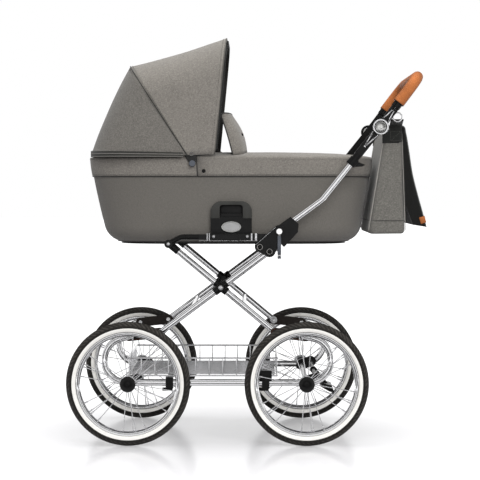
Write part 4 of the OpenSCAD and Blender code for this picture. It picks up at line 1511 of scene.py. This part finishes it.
@dataclass
class Bassinet:
    """Tub with its cloth, mattress, cover and carry plates, sizes in millimetres."""

    low: float = 585.0
    high: float = 836.0
    half_width: Flat = (206.0, 214.0)
    half_length: Flat = (376.0, 423.0)
    middle: Flat = (43.5, 37.0)
    edge: float = 45.0
    wall: float = 9.0
    floor: float = 13.0
    band: float = 55.0
    out: float = 3.0
    cover_x: float = -62.0
    cover_angle: float = 93.08
    cover_half: Flat = (426.0, 217.0)
    crown: float = 14.0
    flap_x: float = 34.0
    flap_half: Flat = (51.0, 202.0)
    flap_turn: float = 88.0
    flap_top: float = 966.0
    flap_drop: float = 26.0
    flap_lean: float = 46.0
    flap_bow: float = 11.0
    stud_turn: float = 32.0
    stud_rise: float = 0.46
    plate_x: float = 39.5
    plate_y: float = 222.2
    frame_foot: float = 657.5
    oval_z: float = 632.5
    oval: Flat = (27.0, 14.6)

    NODES = {"bottom_trim": BLACK, "carry_plates": BLACK, "oval_plates": SILVER, "triggers": BLACK}
    EDGE_RISE = (0, 1, 3, 6, 10, 16, 22, 30, 38, 45)
    MATTRESS = ((0.4, 44), (9, 31), (24, 26), (41, 30), (51, 48), (55, 82), (58, 130), (59, 172))
    COVER_SHARES = (0.015, 0.035, 0.07, 0.12, 0.2, 0.3, 0.4, 0.5, 0.6, 0.7, 0.8, 0.9, 0.96, 0.99)
    ARCHES = ((59.8, 707.4, 30.0), (33.6, 696.6, 8.0))
    LINER = (-35.0, 35.0, 660.5, 698.0)

    def build(self) -> None:
        """Makes and dresses the bassinet."""
        for node, finish in self.NODES.items():
            finish_node(node, finish)
        self.tub()
        self.mattress()
        self.head_band()
        self.cover()
        self.wind_flap()
        self.carry_fittings()

    @property
    def inside(self) -> Vector:
        """Point in the middle of the tub's mouth."""
        return mm(self.middle[1], 0.0, self.high)

    def point(self, z: float, angle: float, inset: float = 0.0) -> Vector:
        """Place on the tub's wall at a height and an angle.

        Args:
            z: height.
            angle: angle in degrees from the foot end.
            inset: distance inwards.

        Returns:
            The place in metres.
        """
        t = (z - self.low) / (self.high - self.low)
        full = 1 - max(0.0, 1 - t) ** 1.25
        c, s = heading(angle)
        x = mix(*self.middle, full) + signed_power(c, 0.5) * (mix(*self.half_length, full) - inset)
        y = signed_power(s, 0.5) * (mix(*self.half_width, t) - inset)
        return mm(x, y, z)

    def edge_inset(self, z: float) -> float:
        """How far the rounded bottom edge lies inwards at a height."""
        d = max(0.0, self.edge - (z - self.low))
        return self.edge - math.sqrt(self.edge ** 2 - d ** 2)

    def loop(self, z: float, inset: float, count: int = 144) -> list[Vector]:
        """Ring of places round the tub."""
        return [self.point(z, 360 * (i + 0.5) / count, inset) for i in range(count)]

    def tub(self) -> None:
        """Cloth over the shell, pale inside."""
        side = self.high - self.low - self.edge
        levels = [self.low + z for z in (*self.EDGE_RISE, *(self.edge + side * i / 16 for i in range(1, 17)))]
        outer = [self.loop(z, self.edge_inset(z)) for z in levels]
        inner = [self.loop(z, self.wall + self.edge_inset(z)) for z in reversed(levels)
                 if z - self.low >= self.floor]
        lip = [self.loop(self.high, 0.8), self.loop(self.high, self.wall - 0.8)]
        rows = outer + lip + inner
        tub = capped("tub_dressed", rows)
        last = len(tub.data.polygons) - 1
        for polygon in tub.data.polygons:
            row = polygon.index // len(rows[0])
            polygon.material_index = 1 if len(outer) <= row < len(rows) - 1 or polygon.index == last else 0
        dress(tub, "bassinet", TUB_CLOTH, LINING, stands_for="tub")
        low = self.low + 3.0
        piping = tube("tub_bottom_piping", self.loop(low, self.edge_inset(low) - 0.6, 120), 0.0016, 8, True)
        dress(piping, "bassinet", BINDING)

    def mattress(self) -> None:
        """Filled cushion on the tub's floor, with piping round its edge."""
        floor = self.low + self.floor + 0.3
        cushion = capped("mattress_dressed", [self.loop(floor + z, inset) for z, inset in self.MATTRESS])
        fill_out(cushion, 0.006, 0.005)
        ground = floor * 0.001 + 0.0002
        for vertex in cushion.data.vertices:
            vertex.co.z = max(vertex.co.z, ground)
        dress(cushion, "bassinet", LINING)
        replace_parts(cushion, "mattress")
        cord = tube("mattress_piping", self.loop(floor + 27, 20.5, 120), 0.0022, 8, True)
        dress(cord, "bassinet", PIPING)

    def around(self, first: float, last: float, count: int) -> list[float]:
        """Angles from the first to the last, in even steps."""
        return [mix(first, last, i / count) for i in range(count + 1)]

    def band_point(self, angle: float, share: float) -> Vector:
        """Place on a band round the rim, at a share of its height."""
        z = self.high - self.band + self.band * share
        return self.point(z, angle, -self.out - 0.8 * math.sin(math.pi * share))

    def head_band(self) -> None:
        """Cloth band round the head end of the rim."""
        angles = self.around(self.cover_angle + 0.05, 359.95 - self.cover_angle, 120)
        rows = [[self.band_point(a, i / 10) for a in angles] for i in range(11)]
        band = crumple(grid_piece("head_band_dressed", rows), 0.0007, 0.06)
        thicken_inwards(band, self.inside)
        dress(band, "bassinet", HOOD_CLOTH, stands_for="head_band")
        self.hem("head_band_hem", angles)

    def hem(self, name: str, angles: Sequence[float]) -> None:
        """Dark edge and two rows of stitches along a band.

        Args:
            name: name of the edge.
            angles: places round the tub.
        """
        low = self.high - self.band
        edge = tube(name, [self.point(low - 0.6, a, -self.out + 0.4) for a in angles], 0.0016, 8)
        dress(edge, "bassinet", BINDING)
        paths = [[self.point(low + rise, a, -self.out - 0.5) for a in angles]
                 for rise in (5.0, self.band - 5.0)]
        rows = [stitches("row", path, 0.004, 0.0024, 0.00045) for path in paths]
        dress(joined(f"{name}_stitches", rows), "bassinet", SEAM_THREAD)

    def cover_height(self, x: float, y: float) -> float:
        """Height of the cover's upper face."""
        e = abs((x - self.middle[1]) / self.cover_half[0]) ** 4 + abs(y / self.cover_half[1]) ** 4
        return self.high + self.out + self.crown * max(0.0, 1 - e)

    def cover_row(self, angle: float) -> list[Vector]:
        """Line on the cover from the skirt's hem to the middle of the front edge.

        Args:
            angle: angle in degrees from the foot end.

        Returns:
            The places in metres.
        """
        row = [self.band_point(angle, i / 8) for i in range(9)]
        rim = self.point(self.high, angle, -self.out) * 1000
        for share in self.COVER_SHARES:
            x, y = mix(rim.x, self.cover_x, share), mix(rim.y, 0.0, share)
            rise = min(1.0, share / 0.05) ** 0.5
            row.append(mm(x, y, mix(self.high + 1.2, self.cover_height(x, y), rise)))
        return row

    def cover(self) -> None:
        """Cover over the foot end, with a skirt round the rim."""
        angles = self.around(-self.cover_angle, self.cover_angle, 96)
        cover = crumple(grid_piece("cover_dressed", [self.cover_row(a) for a in angles]), 0.0012, 0.07)
        thicken_inwards(cover, self.inside)
        dress(cover, "bassinet", HOOD_CLOTH, stands_for="apron")
        self.hem("cover_hem", angles)
        front = [mm(self.cover_x, mix(-216, 216, i / 24), 0.0) for i in range(25)]
        for place in front:
            place.z = self.cover_height(self.cover_x, place.y * 1000) * 0.001 - 0.0005
        dress(tube("cover_front_edge", front, 0.0021, 8), "bassinet", BINDING)

        def side_edge(sign: int) -> bpy.types.Object:
            """Bound edge of the skirt on one side."""
            path = [self.point(self.high - self.band * i / 8, sign * self.cover_angle, -self.out - 0.3)
                    for i in range(9)]
            return tube("edge", path, 0.0018, 8)

        pair("cover_side_edges", "bassinet", BINDING, side_edge)

    def flap_point(self, angle: float, rise: float) -> Vector:
        """Place on the wind flap.

        Args:
            angle: angle in degrees, 0 in the middle.
            rise: share of the flap's height.

        Returns:
            The place in metres.
        """
        c, s = heading(angle)
        c, s = abs(c) ** 0.5, signed_power(s, 0.5)
        x, y = self.flap_x + c * self.flap_half[0], s * self.flap_half[1]
        base = self.cover_height(x, y) + 0.4
        lean = self.flap_lean * (0.68 + 0.32 * c)
        bow = math.sin(math.pi * rise) * self.flap_bow
        x += -lean * rise + bow * c
        y += s * (bow * 0.8 - 6 * rise)
        top = self.flap_top - self.flap_drop * max(0.0, (0.42 - c) / 0.42) ** 2
        return mm(x, y, mix(base, top, rise))

    def wind_flap(self) -> None:
        """Stand-up flap across the cover, with bound edges and two studs."""
        angles = self.around(-self.flap_turn, self.flap_turn, 88)
        rows = [[self.flap_point(a, i / 14) for a in angles] for i in range(15)]
        flap = crumple(grid_piece("wind_flap_dressed", rows), 0.0015, 0.05)
        thicken_inwards(flap, self.inside)
        dress(flap, "wind_guard", HOOD_CLOTH, stands_for="wind_flap")
        edge = [self.flap_point(-self.flap_turn, i / 10) for i in range(10)]
        edge += [self.flap_point(a, 1.0) for a in angles]
        edge += [self.flap_point(self.flap_turn, 1 - i / 10) for i in range(1, 11)]
        dress(tube("wind_flap_edge", edge, 0.0019, 8), "wind_guard", BINDING)

        def stud(sign: int) -> bpy.types.Object:
            """Stud on one side of the flap.

            Args:
                sign: sign of its Y.

            Returns:
                The stud.
            """
            angle = sign * self.stud_turn
            place = self.flap_point(angle, self.stud_rise)
            out = (place - self.flap_point(180 - angle, self.stud_rise)).normalized()
            return button("stud", place + out * 0.0004, out, 4.2, 2.6)

        pair("wind_flap_studs", "wind_guard", BLACK, stud)

    def arch(self, half: float, top: float, r: float) -> list[Flat]:
        """Arch of a grip frame from its left foot to its right foot.

        Args:
            half: half its width.
            top: height of its top.
            r: radius of its corners.

        Returns:
            Its points, with X from the frame's middle.
        """
        turns = [180 - 9 * i for i in range(11)]
        left = [(r - half + r * heading(t)[0], top - r + r * heading(t)[1]) for t in turns]
        right = [(-x, z) for x, z in reversed(left)]
        return [(-half, self.frame_foot), *left, *right, (half, self.frame_foot)]

    def grip_frame(self, sign: int) -> bpy.types.Object:
        """Arched frame round a grip opening.

        Args:
            sign: sign of its Y.

        Returns:
            The frame.
        """
        y0, y1 = [sign * self.plate_y + sign * rise for rise in (0.2, 2.4)]
        rows = []
        for (x0, z0), (x1, z1) in zip(*(self.arch(*arch) for arch in self.ARCHES)):
            flat = [(x0, y0, z0), (x0, y1, z0), (x1, y1, z1), (x1, y0, z1)]
            rows.append([mm(self.plate_x + x, y, z) for x, y, z in flat])
        return chamfer(capped("frame", rows), 0.0012)

    def oval_rim(self, sign: int) -> bpy.types.Object:
        """Bright rim of an oval plate.

        Args:
            sign: sign of its Y.

        Returns:
            The rim.
        """
        turns = [heading(6 * i) for i in range(60)]
        y = sign * self.plate_y + sign * 2.2
        path = [mm(self.plate_x + self.oval[0] * c, y, self.oval_z + self.oval[1] * s) for c, s in turns]
        return tube("rim", path, 0.0016, 8, True)

    def liner(self, sign: int) -> bpy.types.Object:
        """Dark back of a grip opening."""
        faces = [sign * self.plate_y - sign * depth for depth in (11.8, 10.9)]
        return plate("liner", [(self.plate_x + x, z) for x, z in oblong(*self.LINER)], *faces, 0.3)

    def carry_fittings(self) -> None:
        """Grey grip frames, bright rims of the ovals and dark liners."""
        pair("grip_frames", "bassinet", GREY_MOULD, self.grip_frame)
        pair("oval_rims", "bassinet", SATIN, self.oval_rim)
        pair("finger_recess_liners", "bassinet", BLACK, self.liner)


@dataclass
class Hood:
    """Folding hood of two cloth panels on two bows, sizes in millimetres."""

    pivot: Flat = (-74.0, 818.0)
    front: Flat = (24.5, 1190.9)
    mid: Flat = (-261.7, 1107.1)
    rear: Flat = (-378.8, 844.7)
    reach: float = 62.0
    half: float = 227.1
    shoulder: float = 114.7
    foot: float = 26.0
    low: Flat = (841.0, 853.0)
    bulges: Flat = (7.0, -4.5)
    tape_low: Flat = (838.0, 838.6)
    tape_high: Flat = (849.0, 856.0)
    eyelet_y: float = 227.4

    NODES = {"hood_mid_bow": BOW, "hood_front_bow": BOW, "hood_pivots": GUN_METAL}
    EYELET = ((4.0, 0.0), (3.9, 1.2), (4.8, 1.7), (6.0, 1.3), (6.4, 0.0))

    def build(self) -> None:
        """Makes and dresses the hood."""
        for node, finish in self.NODES.items():
            finish_node(node, finish)
        self.panels()
        self.seams()
        self.zip_line()
        self.studs()

    @property
    def inside(self) -> Vector:
        """Point between the hood's pivots."""
        return mm(self.pivot[0], 0.0, self.pivot[1])

    def ring(self, top: Flat, ahead: float, grow: float = 0.0) -> list[Vector]:
        """Section of the hood from the left foot over the top to the right foot.

        Args:
            top: place of its top in the side view.
            ahead: how far its foot lies in front of the pivot.
            grow: distance outwards.

        Returns:
            The places in metres.
        """
        base = (self.pivot[0] + ahead, self.pivot[1])
        length = math.hypot(top[0] - base[0], top[1] - base[1])
        ux, uz = (top[0] - base[0]) / length, (top[1] - base[1]) / length
        half, r = self.half + grow, self.shoulder + grow
        length += grow
        turns = [heading(180 - 6 * i) for i in range(16)]
        left = [(-half, mix(self.foot, length - r, i / 12)) for i in range(12)]
        left += [(r - half + r * c, length - r + r * s) for c, s in turns]
        left += [(mix(r - half, 0.0, i / 5), length) for i in range(1, 5)]
        flat = left + [(0.0, length)] + [(-y, q) for y, q in reversed(left)]
        return [mm(base[0] + q * ux, y, base[1] + q * uz) for y, q in flat]

    def height(self, x: float, ends: Flat) -> float:
        """Height of a line that falls from the hood's rear to its pivots, in metres."""
        share = (x * 1000 - self.pivot[0]) / (self.rear[0] - self.pivot[0])
        return mix(*ends, max(0.0, min(1.0, share))) * 0.001

    def between(self, p: Flat, q: Flat, ahead: Flat, bulge: float, steps: int) -> list[list[Vector]]:
        """Sections from one place of the side view to another.

        Args:
            p: top of the first section.
            q: top of the last section.
            ahead: how far their feet lie in front of the pivot.
            bulge: how far the middle section stands out.
            steps: steps between the two.

        Returns:
            The sections.
        """
        length = math.hypot(q[0] - p[0], q[1] - p[1])
        nx, nz = (q[1] - p[1]) / length, (p[0] - q[0]) / length
        rows = []
        for i in range(steps + 1):
            t = i / steps
            swell = 4 * bulge * t * (1 - t)
            top = (mix(p[0], q[0], t) + swell * nx, mix(p[1], q[1], t) + swell * nz)
            rows.append(self.ring(top, mix(*ahead, t)))
        return rows

    def rear_rows(self, steps: int) -> list[list[Vector]]:
        """Sections of the rear panel from the middle bow."""
        return self.between(self.mid, self.rear, (0.0, 0.0), self.bulges[0], steps)

    def front_rows(self, steps: int) -> list[list[Vector]]:
        """Sections of the front panel from the front bow."""
        return self.between(self.front, self.mid, (self.reach, 0.0), self.bulges[1], steps)

    def panel(self, name: str, rows: list[list[Vector]], node: str, flat: Flat,
              cloth: Cloth) -> bpy.types.Object:
        """Cloth panel through its sections.

        Args:
            name: name of the piece.
            rows: sections from front to rear.
            node: construction node that it replaces.
            flat: width and length of its cut in metres; not used.
            cloth: finish of the panel.

        Returns:
            The panel.
        """
        panel = crumple(grid_piece(name, rows), 0.0016, 0.09)
        for vertex in panel.data.vertices:
            floor = self.height(vertex.co.x, self.low)
            above = vertex.co.z - floor
            vertex.co.z = floor + (above + math.hypot(above, 0.002)) / 2
        thicken_inwards(panel, self.inside)
        panel.data.materials.append(cloth.material())
        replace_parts(panel, node)
        return panel

    def panels(self) -> None:
        """Rear and front panels of the hood."""
        # The rear panel takes the darker copy of the hood cloth, a painted shade.
        rear = self.panel("hood_rear_dressed", self.rear_rows(22), "hood_rear_panel", (1.1, 0.36),
                          HOOD_CLOTH_PAINTED_SHADE)
        front = self.panel("hood_front_dressed", self.front_rows(22), "hood_front_panel", (1.16, 0.4),
                           HOOD_CLOTH)
        for panel, bodies, angle, reach in ((rear, ("bassinet", "hood_mid"), 59.0, 0.13),
                                            (front, ("hood_mid", "hood_front"), 9.2, 0.14)):
            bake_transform(panel)
            log.info("%s bends between %s and %s", panel.name, *bodies)

    def seams(self) -> None:
        """Piped seam over the middle bow and binding of the front edge."""
        dress(tube("hood_mid_seam", self.ring(self.mid, 0.0, 0.7), 0.0011, 8), "hood_mid", BINDING)
        beside = (self.rear_rows(40)[1], self.front_rows(40)[-2])
        rows = [stitches("row", path, 0.0045, 0.0028, 0.0007) for path in beside]
        dress(joined("hood_mid_stitches", rows), "hood_mid", SEAM_THREAD)
        binding = tube("hood_front_binding", self.ring(self.front, self.reach, -1.2), 0.0019, 10)
        dress(binding, "hood_front", SEAM_THREAD)
        near = self.ring((self.front[0] - 9.0, self.front[1] - 3.0), self.reach - 9.0, 0.7)
        dress(stitches("hood_front_stitches", near, 0.0045, 0.0028, 0.0005), "hood_front", SEAM_THREAD)

    def zip_line(self) -> None:
        """Dark zip tape with pale piping along the hood's lower edge."""
        plan = [Vector((p.x, p.y * 1.013, 0.0)) for p in self.ring(self.rear, 0.0, 1.0)]
        rows = []
        for i in range(5):
            ends = [mix(low, high, i / 4) for low, high in zip(self.tape_low, self.tape_high)]
            rows.append([Vector((p.x, p.y, self.height(p.x, ends))) for p in plan])
        tape = thicken(grid_piece("hood_zip_tape", rows), 0.0012, 0.0)
        dress(tape, "bassinet", BINDING)
        lines = [tube("line", [Vector((p.x, p.y * 1.003, p.z + 0.0003)) for p in row], 0.0013, 8)
                 for row in (rows[2], rows[0])]
        dress(joined("hood_zip_piping", lines), "bassinet", ZIP_LINE)

    def studs(self) -> None:
        """Studs and rings beside the hood pivots."""
        eyelet = (self.pivot[0] - 2, self.pivot[1] + 27)
        turned_rings("hood_eyelets", "bassinet", DARK_STEEL, [eyelet], self.eyelet_y, self.EYELET, 32)
        heads("skirt_studs", "bassinet", BLACK, [(-41.0, 796.0)], 217.6, (5.6, 3.0))
        heads("hood_corner_studs", "hood_front", BLACK, [(0.4, 857.0)], 226.8, (4.0, 2.6))


@dataclass
class Bag:
    """Bag that hangs from the handle, sizes in millimetres."""

    top: float = 921.5
    bottom: float = 611.5
    back: Flat = (552.4, 540.4)
    depth: Flat = (112.0, 50.0)
    width: float = 380.0
    slack: float = 3.0
    low_seam: float = 650.0
    patch: tuple[float, ...] = (482.0, 531.5, 877.5, 918.5)
    patch_faces: Flat = (187.5, 190.6)
    flap_half: float = 187.0
    strap_x: float = 521.4
    stitch_y: float = 193.1

    LEVELS = ((0, 9), (1.5, 5), (4, 2.5), (9, 0.8), (16, 0), *((16 + 294 * i / 26, 0) for i in range(1, 27)))
    FLAP = ((490.4, 925.8), (541.4, 927.8), (551.4, 905.8), (560.0, 856.8), (570.8, 787.8), (586.4, 725.8),
            (600.4, 675.8), (612.4, 631.8))
    FLAP_INSIDE = ((612.4, 631.8), (573.4, 637.8), (558.4, 675.8), (550.8, 693.8), (541.2, 921.8),
                   (490.4, 921.8))
    FLAP_ROUNDING = ((0.0, 1.7), (0.6, 0.8), (1.8, 0.2), (5.0, 0.0))
    LABEL = (0.893, 0.906, 0.92, 0.934, 0.948)
    STRAP_PATH = ((191.7, 881.5), (191.7, 900.0), (191.7, 920.0), (192.6, 928.0), (196.0, 932.2),
                  (203.0, 934.6), (215.0, 938.0), (228.0, 941.8), (238.0, 944.6))
    STRAP_ACROSS = (-18.5, -9.0, 0.0, 9.0, 18.5)
    STRAP_STITCHES = ((-15.5, 884.5), (15.5, 884.5), (15.5, 912.0), (-15.5, 912.0), (-15.5, 884.5),
                      (15.5, 912.0))

    def build(self) -> None:
        """Makes and dresses the bag."""
        self.body()
        self.seams()
        self.cover()
        self.label()
        self.webbing()

    def section(self, t: float) -> Flat:
        """Back face and depth of the bag at a share of its height."""
        return mix(*self.back, t), mix(*self.depth, t)

    def loop(self, z: float, inset: float, count: int = 120) -> list[Vector]:
        """Ring of places round the bag, a little slack between its corners.

        Args:
            z: height.
            inset: distance inwards.
            count: number of places.

        Returns:
            The places in metres.
        """
        t = (z - self.bottom) / (self.top - self.bottom)
        back, depth = self.section(t)
        slack = self.slack * math.sin(math.pi * min(1.0, max(0.0, t))) ** 2
        places = []
        for i in range(count):
            c, s = heading(360 * (i + 0.5) / count)
            x = signed_power(c, 0.2) * (depth / 2 - inset)
            y = signed_power(s, 0.2) * (self.width / 2 - inset - slack)
            places.append(mm(back - depth / 2 + x, y, z))
        return places

    def body(self) -> None:
        """Sagging cloth shell, open at the top, with a bound mouth."""
        outer = [self.loop(self.bottom + z, inset) for z, inset in self.LEVELS]
        inner = [self.loop(self.bottom + max(z, 4.0), inset + 4.0) for z, inset in reversed(self.LEVELS)]
        bag = crumple(capped("bag_dressed", outer + inner), 0.0012, 0.06)
        dress(bag, "bag", BAG_CLOTH, stands_for="bag_body")
        dress(tube("bag_mouth_edge", self.loop(self.top - 0.5, 2.8), 0.002, 8, True), "bag", BINDING)

    def corner_seam(self, turn: float) -> bpy.types.Object:
        """Piped seam along an upright corner.

        Args:
            turn: angle of the corner in degrees.

        Returns:
            The seam.
        """
        c, s = heading(turn)
        path = []
        for z, inset in self.LEVELS[3:]:
            back, depth = self.section(z / (self.top - self.bottom))
            x = math.copysign(depth / 2 - 1.0 - inset, c)
            path.append(mm(back - depth / 2 + x, math.copysign(self.width / 2 - 9.0, s), self.bottom + z))
        return tube("seam", path, 0.0014, 6)

    def seams(self) -> None:
        """Seams on the corners and above the bottom, and patches for the webbing."""
        seams = [self.corner_seam(turn) for turn in (8.0, 172.0, 188.0, 352.0)]
        dress(joined("bag_corner_seams", seams), "bag", PIPING)
        dress(tube("bag_low_seam", self.loop(self.low_seam, 0.3), 0.0012, 6, True), "bag", BINDING)

        def patch(sign: int) -> bpy.types.Object:
            """Patch on one side of the bag."""
            return plate("patch", oblong(*self.patch), *(sign * y for y in self.patch_faces), 0.8)

        pair("bag_side_patches", "bag", WEBBING, patch)

    def curve(self, t: float) -> Flat:
        """Place on the flap's smooth outer line.

        Args:
            t: share of the line.

        Returns:
            The place in the side view.
        """
        count = len(self.FLAP) - 1
        i = min(int(t * count), count - 1)
        u = t * count - i
        four = [self.FLAP[max(0, min(count, i + k))] for k in (-1, 0, 1, 2)]

        def smooth(a: float, b: float, c: float, d: float) -> float:
            """One coordinate between b and c."""
            return 0.5 * (2 * b + (c - a) * u + (2 * a - 5 * b + 4 * c - d) * u * u
                          + (3 * b - a - 3 * c + d) * u ** 3)

        x, z = [smooth(*values) for values in zip(*four)]
        return x, z

    def flap_section(self, outline: Sequence[Flat], y: float, inset: float) -> list[Vector]:
        """Section of the flap, drawn in towards its ends.

        Args:
            outline: section in the side view.
            y: place across the pram.
            inset: distance inwards.

        Returns:
            The places in metres.
        """
        row = []
        for i, (x, z) in enumerate(outline):
            (x0, z0), (x1, z1) = outline[i - 1], outline[(i + 1) % len(outline)]
            length = math.hypot(x1 - x0, z1 - z0) or 1.0
            row.append(mm(x + inset * (z1 - z0) / length, y, z - inset * (x1 - x0) / length))
        return row

    def cover(self) -> None:
        """Padded flap over the mouth and down the back, with pale edges; its near-black colour is partly dark
        lining, partly painted shade.
        """
        outer = [self.curve(i / 44) for i in range(45)]
        outline = list(outer)
        for a, b in zip(self.FLAP_INSIDE, self.FLAP_INSIDE[1:]):
            outline += [(mix(a[0], b[0], k / 8), mix(a[1], b[1], k / 8)) for k in range(1, 9)]
        ends = [(self.flap_half - back, inset) for back, inset in self.FLAP_ROUNDING]
        steps = [(-y, inset) for y, inset in ends]
        steps += [(mix(-174, 174, i / 24), 0.0) for i in range(25)] + ends[::-1]
        flap = capped("bag_flap_dressed", [self.flap_section(outline, y, inset) for y, inset in steps])
        dress(flap, "bag_cover", FLAP_CLOTH_PAINTED_SHADE, stands_for="bag_flap")

        def edge(sign: int) -> bpy.types.Object:
            """Pale edge of the flap on one side."""
            return tube("edge", [mm(x - 0.8, sign * (self.flap_half - 1.2), z) for x, z in outer], 0.0019, 8)

        pair("bag_flap_edges", "bag_cover", FLAP_EDGE, edge)

    def label(self) -> None:
        """Bare leather label round the flap's left edge."""
        rows = []
        for x, z in (self.curve(t) for t in self.LABEL):
            row = [mm(x + out, -self.flap_half - 2.0, z + 0.3 * out) for out in (-13.0, -6.5, 0.0, 2.4)]
            row += [mm(x + 2.6, -self.flap_half + y, z + 0.8) for y in (4.0, 14.0, 24.0)]
            rows.append(row)
        dress(thicken(grid_piece("bag_leather_label", rows), 0.0016, 0.0), "bag_cover", TAN_HIDE)

    def webbing(self) -> None:
        """Webbing from the bag's sides to the rings."""
        def strap(sign: int) -> bpy.types.Object:
            """Webbing of one side."""
            rows = [[mm(self.strap_x + x, sign * y, z) for x in self.STRAP_ACROSS] for y, z in self.STRAP_PATH]
            return thicken(grid_piece("strap", rows), 0.0024, 0.0)

        def row(sign: int) -> bpy.types.Object:
            """Stitches that hold one side's webbing."""
            path = [mm(self.strap_x + x, sign * self.stitch_y, z) for x, z in self.STRAP_STITCHES]
            return stitches("row", path, 0.003, 0.002, 0.0004)

        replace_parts(pair("bag_webbing_dressed", "bag_webbing", WEBBING, strap), "bag_straps")
        pair("bag_webbing_stitches", "bag_webbing", SEAM_THREAD, row)


def main() -> None:
    """Builds the studio and the pram, piece by piece."""
    logging.basicConfig(level=logging.INFO)
    Studio().build()
    for end in End:
        for side in Side:
            Wheel(end, side).build()
    for part in (Chassis(), Handle(), Bassinet(), Hood(), Bag()):
        part.build()


if __name__ == "__main__":
    main()
